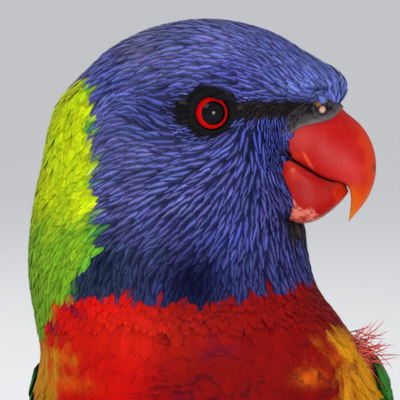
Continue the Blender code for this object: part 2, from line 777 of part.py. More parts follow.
def make_leg(form, side):
    """Feathered thigh, scaly shank, foot and claws of one leg. side is 1 on the left."""
    word = "left" if side > 0 else "right"
    hip = np.array([-15.0, side * (HIP_SIDE - 3.0), 54.0])
    ankle = np.array([ANKLE[0], side * (HIP_SIDE + 0.5), ANKLE[1]])
    foot = np.array([FOOT[0], side * (HIP_SIDE + 1.5), FOOT[1]])

    thigh_way = (ankle - hip) / np.linalg.norm(ankle - hip)
    down = np.linspace(0, 1, 9)
    path = [hip + (ankle - hip) * t for t in down]
    radii = 3.3 + 6.6 * (1 - down) ** 1.15
    thigh = loft(f"thigh_{word}", tube_rings(path, radii, 16), "thigh_plumage")
    start, end = form.where(2, 92.0), form.where(0, TORSO_END_X)
    carve(thigh, loft("torso_cutter", form.length_of(start, end, 5.5, BODY_SIDES, PART_GAP)))
    keep_largest(thigh)

    shank_start = ankle + thigh_way * PART_GAP
    bend = shank_start + thigh_way * 2.6
    length = np.linalg.norm(foot - bend)
    shares = np.array([0.05, 0.25, 0.5, 0.72])
    shank_path = [shank_start, shank_start + thigh_way * 0.7, shank_start + thigh_way * 1.6]
    shank_path += [bend + (foot - bend) * s for s in shares]
    shank_radii = [2.5, 2.7, 2.8, 2.55, 2.15, 2.05, 2.3]
    loft(f"shank_{word}", tube_rings(shank_path, shank_radii, 12), "leg_skin")

    first = shares[-1] + PART_GAP / length
    stub_path = [bend + (foot - bend) * s for s in (first, 0.9, 1.05)]
    base = loft(f"foot_{word}", tube_rings(stub_path, [2.35, 2.7, 2.6], 12, 1.0, 0.6), "leg_skin")
    sizes = {"cap_ends": True, "segments": 12, "radius1": PAD_RADIUS, "radius2": PAD_RADIUS * 0.8}
    pad_place = Matrix.Translation((foot[0], foot[1], PAD_HEIGHT / 2))
    toes = [new_primitive("pad", bmesh.ops.create_cone, depth=PAD_HEIGHT, matrix=pad_place, **sizes)]
    for number, (turn, reach, thick) in enumerate(TOES):
        toes.append(make_toe(f"toe_{word}_{number}", foot, side, turn, reach, thick))
        make_claw(f"claw_{word}_{number + 1}", foot, side, turn, reach, thick)
    fuse(base, toes)
    dress(base, "leg_skin")
    return thigh


# Each toe: its direction from straight ahead to the outside, its length and its thickness
TOES = ((-20.0, 14.0, 0.95), (17.0, 20.0, 1.0), (148.0, 17.5, 1.0), (-152.0, 10.5, 0.9))
TOE_SHARES = (0.0, 0.14, 0.3, 0.42, 0.56, 0.7, 0.84, 1.0)
TOE_BULGE = (1.25, 1.12, 0.92, 1.06, 0.88, 1.0, 0.84, 0.66)


def toe_way(side, turn):
    """The level direction that a toe points in."""
    angle = math.radians(turn)
    return np.array([math.cos(angle), side * math.sin(angle), 0.0])


def make_toe(name, foot, side, turn, reach, thick):
    """One toe, knuckled, with its sole flat on the floor."""
    way = toe_way(side, turn)
    middle = TOE_RADIUS * 0.88
    path = []
    for share in TOE_SHARES:
        height = middle + (foot[2] + 0.4 - middle) * (1 - min(share / 0.3, 1.0)) ** 2
        path.append(np.array([foot[0], foot[1], height]) + way * reach * share)
    radii = [TOE_RADIUS * thick * bulge for bulge in TOE_BULGE]
    return loft(name, tube_rings(path, radii, 8, 1.0, 0.6))


def make_claw(name, foot, side, turn, reach, thick):
    """A curved claw that starts just past the toe's end and comes down to the floor."""
    way = toe_way(side, turn)
    middle = TOE_RADIUS * 0.88
    start = np.array([foot[0], foot[1], middle]) + way * (reach + PART_GAP)
    path, radii = [], []
    for share in (0.0, 0.1, 0.3, 0.5, 0.7, 0.87, 1.0):
        rise = 0.9 * math.sin(math.pi * max(share - 0.1, 0.0)) - (middle - 0.3) * share**2.2
        rise = 0.0 if share <= 0.1 else rise
        path.append(start + way * CLAW_LENGTH * thick * share * 0.9 + np.array([0.0, 0.0, rise]))
        radii.append(1.15 * thick * (1 - share) ** 0.8 + 0.12)
    return loft(name, tube_rings(path, radii, 8, 1.15), "claw_horn")


# Building


def clear_scene():
    """Empties the file of objects, and gives back the collection for the parts."""
    for obj in list(bpy.data.objects):
        bpy.data.objects.remove(obj)
    parts = bpy.data.collections.new("rainbow_lorikeet")
    bpy.context.scene.collection.children.link(parts)
    return parts


def stand_at_origin(objects):
    """Turns millimetres into metres, and centres the footprint on the origin."""
    points = np.vstack([np.array([v.co for v in obj.data.vertices]) for obj in objects])
    low, high = points.min(axis=0), points.max(axis=0)
    shift = Vector((-(low[0] + high[0]) / 2, -(low[1] + high[1]) / 2, -low[2]))
    for obj in objects:
        for vert in obj.data.vertices:
            vert.co = (vert.co + shift) * 0.001
        obj.data.update()
    print(f"shift of the working frame, in mm: {tuple(round(s, 3) for s in shift)}")


PARTS = clear_scene()


def main():
    """Builds every node of the bird."""
    form, head, neck, torso, cone = make_body()
    for side in (1, -1):
        make_eye(head, side)
    make_bill(form)
    for side in (1, -1):
        make_wing(side)
    make_tail(cone)
    for side in (1, -1):
        make_leg(form, side)
    objects = list(PARTS.objects)
    stand_at_origin(objects)
    for obj in objects:
        shade(obj)


main()
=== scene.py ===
"""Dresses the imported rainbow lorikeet: skin, plumage, eyes, bill, legs, floor, light and camera.

Sizes are in millimetres in the bird's working frame: its body faces +X, its left side is +Y, the
floor is z = 0, and the bill of the turned head points to +Y. A mesh is written in metres in the
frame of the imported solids. The eyes tie one frame to the other.
"""

from __future__ import annotations

import logging
import math
from collections.abc import Callable, Iterable, Sequence
from dataclasses import dataclass, field
from enum import Enum

import bmesh
import bpy
import numpy as np
from mathutils import Matrix, Vector
from mathutils.bvhtree import BVHTree

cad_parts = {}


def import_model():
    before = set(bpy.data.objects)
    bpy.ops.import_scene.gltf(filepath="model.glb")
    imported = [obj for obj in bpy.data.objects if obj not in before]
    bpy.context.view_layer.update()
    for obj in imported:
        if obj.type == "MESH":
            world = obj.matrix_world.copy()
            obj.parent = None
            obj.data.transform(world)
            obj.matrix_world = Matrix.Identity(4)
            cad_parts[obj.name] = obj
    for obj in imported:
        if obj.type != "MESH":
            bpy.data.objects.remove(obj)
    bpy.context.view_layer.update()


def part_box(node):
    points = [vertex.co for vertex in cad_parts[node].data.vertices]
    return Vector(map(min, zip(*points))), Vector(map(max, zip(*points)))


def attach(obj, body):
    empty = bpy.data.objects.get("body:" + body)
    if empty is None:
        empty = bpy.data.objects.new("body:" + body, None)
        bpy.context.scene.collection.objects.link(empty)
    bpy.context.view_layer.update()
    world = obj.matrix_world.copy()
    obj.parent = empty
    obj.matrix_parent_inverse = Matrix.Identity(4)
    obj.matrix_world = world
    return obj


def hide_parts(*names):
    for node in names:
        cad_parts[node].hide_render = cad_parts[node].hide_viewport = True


LOG = logging.getLogger("lorikeet")
MM = 0.001
SEED = 20

# Driving sizes of the solids, repeated here in millimetres and degrees
EYE_HEIGHT = 150.0
EYE_SIDE = 0.8
EYE_RADIUS = 4.3
EYE_DEPTH = 11.3
EYE_FORWARD = 12.0
LID_RING_RADIUS = 3.95
LID_DEPTH = 15.0
HEAD_END = EYE_HEIGHT - 22.0

# The photograph's scale, and the right eye's place in it, in pixels
PIXEL = 0.192
EYE_PIXEL = (212.0, 113.0)


def srgb(red: float, green: float, blue: float) -> np.ndarray:
    """The linear colour of three display values from 0 to 255."""
    share = np.array([red, green, blue], float) / 255.0
    return np.where(share <= 0.04045, share / 12.92, ((share + 0.055) / 1.055) ** 2.4)


def ramp(values: np.ndarray, start: float, end: float) -> np.ndarray:
    """A smooth step of values, 0 at start and 1 at end."""
    share = np.clip((np.asarray(values, float) - start) / (end - start), 0.0, 1.0)
    return share * share * (3.0 - 2.0 * share)


def bump(values: np.ndarray, middle: float, reach: float) -> np.ndarray:
    """A smooth hump, 1 at middle and nearly 0 past reach."""
    return np.exp(-(((np.asarray(values, float) - middle) / (0.6 * reach)) ** 2))


def ripple(points: np.ndarray, size: float, seed: int) -> np.ndarray:
    """A smooth random pattern over points, from about -1 to 1, with blotches of about size."""
    draw = np.random.default_rng(seed)
    waves = draw.normal(size=(7, 3)) * (2.2 / size)
    phases = draw.uniform(0.0, 2.0 * math.pi, 7)
    return np.sin(points @ waves.T + phases).sum(axis=1) / 2.6


def unit(vectors: np.ndarray) -> np.ndarray:
    """Vectors scaled to length 1."""
    size = np.linalg.norm(vectors, axis=-1, keepdims=True)
    return vectors / np.maximum(size, 1e-9)


class Side(Enum):
    """A side of the body. The value is the sign of its Y."""

    LEFT = 1
    RIGHT = -1

    @property
    def word(self) -> str:
        """The side's word in the names of nodes."""
        return self.name.lower()


# Body form


@dataclass(frozen=True)
class Section:
    """A slice across the body: its centre, how far it leans back, and its reach each way.

    fullness is 2 for an oval slice, and more where the left half of the slice is squarer.
    """

    x: float
    y: float
    z: float
    lean: float
    front: float
    back: float
    left: float
    right: float
    fullness: float = 2.0


def head_section(
    rise: float,
    fore: float,
    aft: float,
    half_width: float,
    middle: float | None = None,
    fullness: float = 2.0,
) -> Section:
    """A level slice through the turned head or the neck.

    Args:
        rise: Height over the eye.
        fore: The slice's end in the bill's direction, measured from the eye.
        aft: Its end away from the bill.
        half_width: Its reach to each side of the head.
        middle: Where it is widest, halfway between the ends if left out.
        fullness: How square its bill half is, with 2 for an oval.

    Returns:
        The slice in the body's own frame.
    """
    middle = (fore + aft) / 2 if middle is None else middle
    centre = (0.0, EYE_SIDE + middle, EYE_HEIGHT + rise)
    return Section(*centre, 0.0, half_width, half_width, fore - middle, middle - aft, fullness)


HEAD_AND_NECK = [
    head_section(17.9, -1.6, -1.6, 0.0),
    head_section(17.2, 5.0, -8.6, 6.6),
    head_section(15.2, 11.4, -15.2, 10.4),
    head_section(12.0, 16.9, -21.0, 13.2),
    head_section(8.2, 22.8, -25.2, 14.9, -3.0),
    head_section(5.2, 25.4, -28.2, 15.5, -4.0),
    head_section(3.2, 22.6, -30.0, 15.7, -5.0, 2.1),
    head_section(0.8, 17.4, -31.4, 15.9, -6.0, 2.2),
    head_section(-3.6, 15.0, -32.9, 16.4, -7.0, 2.4),
    head_section(-10.0, 14.2, -34.1, 17.0, -8.0, 2.5),
    head_section(-16.0, 15.2, -35.4, 17.7, -8.5, 2.4),
    head_section(-21.5, 17.2, -36.3, 18.4, -8.8, 2.2),
    head_section(-28.0, 18.1, -36.8, 19.8),
    head_section(-34.0, 19.6, -36.6, 21.6),
    head_section(-41.0, 24.6, -35.4, 24.2),
    head_section(-47.5, 28.8, -34.4, 26.2),
]
TRUNK = [
    Section(-3.0, 0.0, 94.5, 12.0, 28.0, 25.5, 31.4, 33.6),
    Section(-11.0, 0.0, 78.0, 28.0, 31.5, 26.5, 32.0, 32.6),
    Section(-24.0, 0.0, 62.0, 38.0, 31.5, 25.0, 31.0, 31.2),
    Section(-39.0, 0.0, 48.5, 46.0, 26.5, 21.0, 27.2, 27.2),
    Section(-54.0, 0.0, 38.5, 56.0, 18.0, 15.5, 20.5, 20.5),
    Section(-68.0, 0.0, 32.0, 66.0, 10.0, 9.5, 13.5, 13.5),
    Section(-85.0, 0.0, 25.6, 70.0, 0.0, 0.0, 0.0, 0.0),
]


def section_rows(sections: Sequence[Section]) -> np.ndarray:
    """The numbers of each slice as one row."""
    return np.array([[getattr(s, name) for name in Section.__dataclass_fields__] for s in sections])


def hermite(knots: np.ndarray, values: np.ndarray, at: np.ndarray) -> np.ndarray:
    """The smooth curve through the rows of values at knots, read at each of at."""
    slopes = np.gradient(values, knots, axis=0)
    at = np.atleast_1d(np.asarray(at, float))
    i = np.clip(np.searchsorted(knots, at, side="right") - 1, 0, len(knots) - 2)
    width = (knots[i + 1] - knots[i])[:, None]
    t = (at - knots[i])[:, None] / width
    start = (2 * t**3 - 3 * t**2 + 1) * values[i] + (t**3 - 2 * t**2 + t) * width * slopes[i]
    end = (3 * t**2 - 2 * t**3) * values[i + 1] + (t**3 - t**2) * width * slopes[i + 1]
    return start + end


class Form:
    """A smooth closed form through a list of slices, closed in a point where a slice has no reach."""

    def __init__(self, sections: Sequence[Section]) -> None:
        """Lays the slices out along the form.

        Args:
            sections: The slices, from the top of the head to the tail.
        """
        rows = self.with_poles(section_rows(sections))
        reach = rows[:, 4:8].mean(axis=1)
        steps = np.hypot(np.linalg.norm(np.diff(rows[:, :3], axis=0), axis=1), np.diff(reach))
        self.rows = rows
        self.knots = np.concatenate([[0.0], np.cumsum(steps)])
        self.first = self.knots[1] if reach[0] < 0 else 0.0
        self.last = self.knots[-2] if reach[-1] < 0 else self.knots[-1]

    @staticmethod
    def with_poles(rows: np.ndarray) -> np.ndarray:
        """Adds a mirrored slice past each end that closes, so that the form is round there."""
        mirror = np.array([1, 1, 1, 1, -1, -1, -1, -1, 1])
        if rows[0, 4:8].max() == 0:
            rows = np.vstack([rows[1] * mirror, rows])
            rows[0, :2] = 2 * rows[1, :2] - rows[2, :2]
        if rows[-1, 4:8].max() == 0:
            rows = np.vstack([rows, rows[-2] * mirror])
        return rows

    def at(self, v: float | np.ndarray) -> np.ndarray:
        """The slices at distances v along the form."""
        return hermite(self.knots, self.rows, v)

    def ring(self, v: float, sides: int, grow: float = 0.0) -> np.ndarray:
        """Points round the slice at v, starting at the front and turning to the left."""
        x, y, z, lean, front, back, left, right, fullness = self.at(v)[0]
        turn = np.linspace(0, 2 * math.pi, sides, endpoint=False)
        across = np.maximum(np.where(np.cos(turn) >= 0, front, back) + grow, 1e-3)
        aside = np.maximum(np.where(np.sin(turn) >= 0, left, right) + grow, 1e-3)
        power = np.where(np.sin(turn) >= 0, fullness, 2.0)
        reach = (np.abs(np.cos(turn)) / across) ** power + (np.abs(np.sin(turn)) / aside) ** power
        reach = reach ** (-1 / power)
        tip = math.radians(lean)
        forward = np.array([math.cos(tip), 0.0, -math.sin(tip)])
        sideways = np.array([0.0, 1.0, 0.0])
        centre = np.array([x, y, z])
        return centre + np.outer(reach * np.cos(turn), forward) + np.outer(reach * np.sin(turn), sideways)


class Surface:
    """A fine grid over a form or a tube, which gives the nearest point, its normal and its place."""

    def __init__(self, rings: np.ndarray) -> None:
        """Builds the search tree of the grid.

        Args:
            rings: Points of the grid, as rings of as many points each.
        """
        self.rings = np.asarray(rings, float)
        self.rows, self.sides = self.rings.shape[:2]
        count = (self.rows - 1) * self.sides
        ring, side = np.divmod(np.arange(count), self.sides)
        after = (side + 1) % self.sides
        corners = [ring * self.sides + side, ring * self.sides + after]
        corners += [(ring + 1) * self.sides + after, (ring + 1) * self.sides + side]
        self.faces = np.stack(corners, axis=1)
        flat = self.rings.reshape(-1, 3)
        self.corners = flat[self.faces]
        diagonals = self.corners[:, 2] - self.corners[:, 0], self.corners[:, 3] - self.corners[:, 1]
        crossed = np.cross(*diagonals)
        self.areas = np.linalg.norm(crossed, axis=1) / 2
        middle = self.corners.mean(axis=1)
        outward = middle - self.rings.mean(axis=1)[ring]
        flip = np.sign((crossed * outward).sum(axis=1))
        flip[flip == 0] = 1.0
        grid = (crossed * flip[:, None]).reshape(self.rows - 1, self.sides, 3)
        soft = grid + np.roll(grid, 1, axis=1) + np.roll(grid, -1, axis=1)
        soft[1:] += grid[:-1]
        soft[:-1] += grid[1:]
        self.normals = unit(soft.reshape(-1, 3))
        self.tree = BVHTree.FromPolygons(flat.tolist(), self.faces.tolist())

    def nearest(self, points: np.ndarray) -> tuple[np.ndarray, np.ndarray]:
        """The nearest point of the surface to each point, and the face that it lies on."""
        found = [self.tree.find_nearest(Vector(p)) for p in points]
        return np.array([f[0] for f in found]), np.array([f[2] for f in found])

    def scatter(self, count: int, rng: np.random.Generator) -> tuple[np.ndarray, np.ndarray]:
        """Random points spread evenly over the surface, with their faces."""
        face = rng.choice(len(self.areas), size=count, p=self.areas / self.areas.sum())
        s, t = rng.random((2, count, 1))
        a, b, c, d = (self.corners[face, i] for i in range(4))
        return (a * (1 - s) + b * s) * (1 - t) + (d * (1 - s) + c * s) * t, face

    def unwrap(self, face: np.ndarray) -> np.ndarray:
        """The place of a face on the surface laid flat, from 0 to 1 each way."""
        ring, side = np.divmod(face, self.sides)
        return np.stack([(side + 0.5) / self.sides, (ring + 0.5) / (self.rows - 1)], axis=1)


# Workbench


class Workbench:
    """Blender's modelling tools, with sizes in the working frame's millimetres."""

    def __init__(self) -> None:
        """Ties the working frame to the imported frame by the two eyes."""
        boxes = [np.array(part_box(f"eye_{side.word}")) for side in Side]
        centres = [box.mean(axis=0) / MM for box in boxes]
        lean = EYE_DEPTH * (math.sin(math.radians(EYE_FORWARD)) - math.tan(math.radians(EYE_FORWARD)))
        middle = (centres[0] + centres[1]) / 2
        self.shift = middle - np.array([0.0, EYE_SIDE + lean, EYE_HEIGHT])

    def metres(self, points: np.ndarray) -> np.ndarray:
        """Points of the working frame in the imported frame's metres."""
        return (np.asarray(points, float) + self.shift) * MM

    def millimetres(self, points: np.ndarray) -> np.ndarray:
        """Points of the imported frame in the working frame's millimetres."""
        return np.asarray(points, float) / MM - self.shift

    @staticmethod
    def deselect() -> None:
        """Clears the selection."""
        for obj in bpy.context.selected_objects:
            obj.select_set(False)

    def take(self, obj: bpy.types.Object) -> None:
        """Makes obj the one selected and active object."""
        self.deselect()
        obj.select_set(True)
        bpy.context.view_layer.objects.active = obj

    def apply(self, obj: bpy.types.Object, kind: str, **settings: object) -> None:
        """Adds one modifier to obj and applies it.

        Args:
            obj: The object to change.
            kind: Blender's name of the modifier's type.
            **settings: Its settings by name.
        """
        step = obj.modifiers.new(kind.lower(), kind)
        for name, value in settings.items():
            setattr(step, name, value)
        self.take(obj)
        bpy.ops.object.modifier_apply(modifier=step.name)

    def ring_loft(self, name: str, rings: Sequence[np.ndarray], closed: bool = True) -> bpy.types.Object:
        """A skin over rings of as many points each: a circle, extruded from ring to ring.

        Args:
            name: The object's name.
            rings: The rings' points in millimetres.
            closed: Whether both ends get a face.

        Returns:
            The object, its faces turned outwards.
        """
        self.deselect()
        bpy.ops.mesh.primitive_circle_add(vertices=len(rings[0]), radius=MM)
        obj = bpy.context.object
        obj.name = obj.data.name = name
        bpy.ops.object.mode_set(mode="EDIT")
        shape = bmesh.from_edit_mesh(obj.data)
        column = shape.verts.layers.int.new("column")
        for number, vert in enumerate(shape.verts):
            vert[column] = number
        for number, ring in enumerate(rings):
            if number:
                bpy.ops.mesh.extrude_region()
                shape = bmesh.from_edit_mesh(obj.data)
                column = shape.verts.layers.int["column"]
            places = self.metres(ring)
            for vert in shape.verts:
                if vert.select:
                    vert.co = places[vert[column]]
            if closed and number in (0, len(rings) - 1):
                bpy.ops.mesh.edge_face_add()
                if number == 0:
                    self.keep_edges_selected(obj)
        bpy.ops.mesh.select_all(action="SELECT")
        if closed:
            bpy.ops.mesh.normals_make_consistent(inside=False)
        bpy.ops.object.mode_set(mode="OBJECT")
        return obj

    @staticmethod
    def keep_edges_selected(obj: bpy.types.Object) -> None:
        """Leaves the first ring's edges selected without the face that closes it."""
        bpy.ops.mesh.select_mode(type="EDGE")
        shape = bmesh.from_edit_mesh(obj.data)
        for face in shape.faces:
            face.select = False
        for edge in shape.edges:
            edge.select = True
        bmesh.update_edit_mesh(obj.data)

    def join(self, name: str, objects: Sequence[bpy.types.Object]) -> bpy.types.Object:
        """Joins objects into the first of them, and names it."""
        self.deselect()
        for obj in objects:
            obj.select_set(True)
        bpy.context.view_layer.objects.active = objects[0]
        bpy.ops.object.join()
        joined = bpy.context.object
        joined.name = joined.data.name = name
        return joined

    def smooth_shade(self, obj: bpy.types.Object, angle: float | None = None) -> None:
        """Shades obj smooth, with edges sharper than angle left sharp if it is given."""
        self.take(obj)
        if angle is None:
            bpy.ops.object.shade_smooth()
        else:
            bpy.ops.object.shade_smooth_by_angle(angle=math.radians(angle))

    def deliver(self, obj: bpy.types.Object, look: bpy.types.Material, slot: str, *nodes: str) -> None:
        """Gives a finished piece its material, its body, and the solids that it stands for.

        Args:
            obj: The finished piece.
            look: Its material.
            slot: The record's material slot.
            *nodes: The solids that it replaces.
        """
        obj.data.materials.clear()
        obj.data.materials.append(look)
        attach(obj, "root")
        if nodes:
            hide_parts(*nodes)
        LOG.info("%s: %d faces, slot %s", obj.name, len(obj.data.polygons), slot)


# Finishes


class Sheet:
    """One material's node sheet, with short calls for the nodes that the finishes use."""

    def __init__(self, name: str) -> None:
        """Starts the material.

        Args:
            name: The material's name.
        """
        self.material = bpy.data.materials.new(name)
        self.material.use_nodes = True
        self.tree = self.material.node_tree
        self.shader = self.tree.nodes["Principled BSDF"]

    def add(self, kind: str, *inputs: object, **settings: object) -> bpy.types.NodeSocket:
        """Adds a node and gives back its first output.

        Args:
            kind: The node's type without its leading ShaderNode.
            *inputs: A socket to link or a value to set for each input in turn, None to skip one.
            **settings: Properties of the node.

        Returns:
            The node's first output.
        """
        node = self.tree.nodes.new(f"ShaderNode{kind}")
        for name, value in settings.items():
            setattr(node, name, value)
        for socket, value in zip(node.inputs, inputs):
            if isinstance(value, bpy.types.NodeSocket):
                self.tree.links.new(value, socket)
            elif value is not None:
                socket.default_value = value
        return node.outputs[0]

    def maths(self, operation: str, *values: object) -> bpy.types.NodeSocket:
        """A Math node's result."""
        return self.add("Math", *values, operation=operation)

    def step(self, value: bpy.types.NodeSocket, start: float, end: float) -> bpy.types.NodeSocket:
        """A smooth step of a value, 0 at start and 1 at end."""
        return self.add("MapRange", value, start, end, 0.0, 1.0, interpolation_type="SMOOTHSTEP")

    def mix(self, share: object, first: object, second: object, blend: str = "MIX") -> bpy.types.NodeSocket:
        """A blend of two colours by share."""
        node = self.tree.nodes.new("ShaderNodeMix")
        node.data_type = "RGBA"
        node.blend_type = blend
        ends = (node.inputs[0], node.inputs[6], node.inputs[7])
        for socket, value in zip(ends, (share, first, second)):
            if isinstance(value, bpy.types.NodeSocket):
                self.tree.links.new(value, socket)
            elif isinstance(value, (int, float)):
                socket.default_value = value
            else:
                socket.default_value = (*tuple(value)[:3], 1.0)
        return node.outputs[2]

    def attribute(self, name: str) -> bpy.types.Node:
        """The node of a mesh attribute."""
        node = self.tree.nodes.new("ShaderNodeAttribute")
        node.attribute_name = name
        return node

    def relief(self, height: bpy.types.NodeSocket, strength: float, distance: float) -> None:
        """Links a bump of a height to the shader's normal."""
        node = self.tree.nodes.new("ShaderNodeBump")
        node.inputs["Strength"].default_value = strength
        node.inputs["Distance"].default_value = distance
        self.tree.links.new(height, node.inputs["Height"])
        self.tree.links.new(node.outputs["Normal"], self.shader.inputs["Normal"])

    def link(self, socket: bpy.types.NodeSocket, name: str) -> None:
        """Links a result to the shader's input."""
        self.tree.links.new(socket, self.shader.inputs[name])

    def set(self, **values: float) -> None:
        """Sets constants on the shader's own sockets, with underscores for spaces."""
        for name, value in values.items():
            self.shader.inputs[name.replace("_", " ").title().replace("Ior", "IOR")].default_value = value


@dataclass(frozen=True)
class FeatherFinish:
    """Barbed vanes with a bright shaft streak, painted by the coat's own attributes."""

    name: str
    streak_width: float = 0.3
    barbs: float = 26.0
    lines: float = 0.0
    barb_depth: float = 0.14
    roughness: float = 0.6
    specular: float = 0.03
    # rim is how strongly the vane is darkened along its sides and tip, a painted shade between feathers
    rim: float = 0.0

    def make(self) -> bpy.types.Material:
        """Builds the material."""
        sheet = Sheet(self.name)
        ground = sheet.attribute("Ground")
        streak = sheet.attribute("Streak")
        place = sheet.add("UVMap", uv_map="Vane")
        split = sheet.tree.nodes.new("ShaderNodeSeparateXYZ")
        sheet.tree.links.new(place, split.inputs[0])
        across, along = split.outputs[0], split.outputs[1]
        off = sheet.maths("ABSOLUTE", sheet.maths("SUBTRACT", across, 0.5))
        near = sheet.step(off, self.streak_width, 0.0)
        share = sheet.maths("MULTIPLY", near, ground.outputs["Alpha"])
        colour = sheet.mix(share, ground.outputs["Color"], streak.outputs["Color"])
        slant = sheet.maths("SUBTRACT", along, sheet.maths("MULTIPLY", off, 0.55))
        wave = sheet.maths("SINE", sheet.maths("MULTIPLY", slant, 6.283 * self.barbs))
        wave = sheet.maths("MULTIPLY_ADD", wave, 0.5, 0.5)
        shaded = sheet.mix(sheet.maths("MULTIPLY", wave, self.barb_depth), colour, (0.004, 0.004, 0.008))
        # Painted shade: the vane darkens along its sides and towards its tip, so each feather's outline shows dark
        # against the next
        edge = sheet.maths("MAXIMUM", sheet.step(off, 0.3, 0.49), sheet.step(along, 0.86, 0.99))
        shaded = sheet.mix(sheet.maths("MULTIPLY", edge, self.rim), shaded, (0.004, 0.008, 0.004))
        sheet.add("TexCoord")
        coordinates = sheet.tree.nodes["Texture Coordinate"].outputs["Object"]
        fuzz = sheet.add("TexNoise", coordinates, None, 2600.0, 2.0, 0.6)
        shaded = sheet.mix(sheet.maths("MULTIPLY", sheet.step(fuzz, 0.4, 0.75), 0.3), shaded, (0.004, 0.003, 0.006))
        if self.lines:
            fine = sheet.maths("SINE", sheet.maths("MULTIPLY", across, 6.283 * self.lines))
            fine = sheet.maths("MULTIPLY_ADD", fine, 0.09, 0.09)
            shaded = sheet.mix(fine, shaded, (0.004, 0.002, 0.004))
            drawn = sheet.add("Mapping", coordinates, None, None, (70.0, 70.0, 240.0))
            level = sheet.add("TexNoise", drawn, None, 1.0, 3.0, 0.6)
            bar = sheet.step(sheet.maths("ABSOLUTE", sheet.maths("SUBTRACT", level, 0.5)), 0.05, 0.0)
        else:
            bar = sheet.step(along, 0.7, 0.93)
        barred = sheet.mix(sheet.maths("MULTIPLY", bar, streak.outputs["Alpha"]), shaded, srgb(44, 8, 18))
        sheet.link(barred, "Base Color")
        sheet.relief(wave, 0.25, 0.0001)
        sheet.set(roughness=self.roughness, specular_ior_level=self.specular)
        return sheet.material


@dataclass(frozen=True)
class SkinFinish:
    """The skin under the plumage, which carries the plumage's markings a little darker, as painted shade under the
    feathers.
    """

    name: str
    roughness: float = 0.7

    def make(self) -> bpy.types.Material:
        """Builds the material."""
        sheet = Sheet(self.name)
        ground = sheet.attribute("Ground")
        place = sheet.add("TexCoord")
        coordinates = sheet.tree.nodes["Texture Coordinate"].outputs["Object"]
        grain = sheet.add("TexNoise", coordinates, None, 1400.0, 3.0, 0.6)
        # Painted shade: the markings are mixed 30% towards near black for the shade under the feathers
        colour = sheet.mix(0.3, ground.outputs["Color"], (0.01, 0.01, 0.014))
        mottled = sheet.mix(sheet.maths("MULTIPLY", grain, 0.35), colour, (0.0, 0.0, 0.0))
        sheet.link(mottled, "Base Color")
        sheet.relief(grain, 0.4, 0.0002)
        sheet.set(roughness=self.roughness, specular_ior_level=0.05)
        return sheet.material


# Markings


@dataclass(frozen=True)
class Hue:
    """The colours of one region of the head, and where in the picture its middle lies."""

    px: float
    py: float
    streak: tuple[int, int, int]
    ground: tuple[int, int, int]


HEAD_HUES = {
    "forehead": Hue(325, 85, (103, 114, 186), (66, 78, 136)),
    "crown": Hue(215, 40, (109, 112, 186), (74, 78, 128)),
    "crown back": Hue(130, 52, (98, 99, 156), (76, 75, 109)),
    "brow": Hue(225, 76, (78, 80, 168), (36, 37, 78)),
    "nape": Hue(105, 82, (92, 101, 180), (54, 58, 114)),
    "ear": Hue(150, 110, (70, 75, 151), (33, 36, 72)),
    "lore": Hue(265, 148, (72, 80, 170), (10, 17, 52)),
    "cheek": Hue(190, 190, (98, 98, 166), (36, 39, 82)),
    "neck side": Hue(110, 150, (85, 86, 147), (56, 58, 95)),
    "jaw": Hue(120, 200, (92, 94, 160), (44, 46, 86)),
    "chin": Hue(286, 222, (77, 70, 138), (14, 18, 47)),
    "throat": Hue(235, 238, (78, 83, 158), (29, 35, 86)),
    "gorget": Hue(200, 284, (2, 9, 50), (0, 3, 28)),
    "collar side": Hue(104, 276, (40, 57, 68), (19, 27, 54)),
}

# The edge between collar and blue plumage, as the picture's columns at some of its rows
COLLAR_ROWS = (70, 90, 115, 140, 170, 200, 230, 255, 268, 280, 300, 306)
COLLAR_COLUMNS = (60, 82, 89, 89, 92, 93, 93, 99, 96, 79, 77, 79)
# The edge between the green mantle and the red or blue plumage, as degrees from the front
MANTLE_RISES = (-60.0, -50.0, -45.0, -42.0, -38.0, -36.0)
MANTLE_TURNS = (-112.0, -97.0, -75.0, -66.0, -58.0, -50.0)
FAR_RISES = (-60.0, -50.0, -35.0, -25.0, -17.0)
FAR_TURNS = (108.0, 112.0, 135.0, 180.0, 217.0)


@dataclass
class Spots:
    """Places on the plumage, with what the markings need to know of each."""

    points: np.ndarray
    turn: np.ndarray

    @property
    def rise(self) -> np.ndarray:
        """Height over the eye."""
        return self.points[:, 2] - EYE_HEIGHT

    @property
    def px(self) -> np.ndarray:
        """Column of the picture."""
        return EYE_PIXEL[0] + (self.points[:, 1] - EYE_SIDE) / PIXEL

    @property
    def py(self) -> np.ndarray:
        """Row of the picture."""
        return EYE_PIXEL[1] - self.rise / PIXEL

    def spot(self, px: float, py: float, across: float, down: float, tilt: float = 0.0) -> np.ndarray:
        """A soft oval of the picture, 1 at its middle, on the side that faces the camera."""
        angle = math.radians(tilt)
        dx, dy = self.px - px, self.py - py
        along = (dx * math.cos(angle) + dy * math.sin(angle)) / across
        aside = (dy * math.cos(angle) - dx * math.sin(angle)) / down
        return np.exp(-(along**2 + aside**2)) * (self.points[:, 0] > 0)


class Paint:
    """The colours of some places: ground, shaft streak, how strong the streak is, and the dark bar."""

    def __init__(self, count: int) -> None:
        """Starts with no colour.

        Args:
            count: How many places there are.
        """
        self.ground = np.zeros((count, 3))
        self.streak = np.zeros((count, 3))
        self.strength = np.ones(count)
        self.bar = np.zeros(count)

    def lay(
        self,
        mask: np.ndarray,
        ground: np.ndarray,
        streak: np.ndarray,
        strength: float | np.ndarray = 1.0,
        bar: float | np.ndarray = 0.0,
    ) -> None:
        """Lays colours over those that are there.

        Args:
            mask: How far the new colours cover, from 0 to 1.
            ground: The ground's colour.
            streak: The shaft streak's colour.
            strength: How strong the streak is.
            bar: How strong the dark bar at the tip is.
        """
        share = np.clip(mask, 0.0, 1.0)
        self.ground += (ground - self.ground) * share[:, None]
        self.streak += (streak - self.streak) * share[:, None]
        self.strength += (strength - self.strength) * share
        self.bar += (bar - self.bar) * share


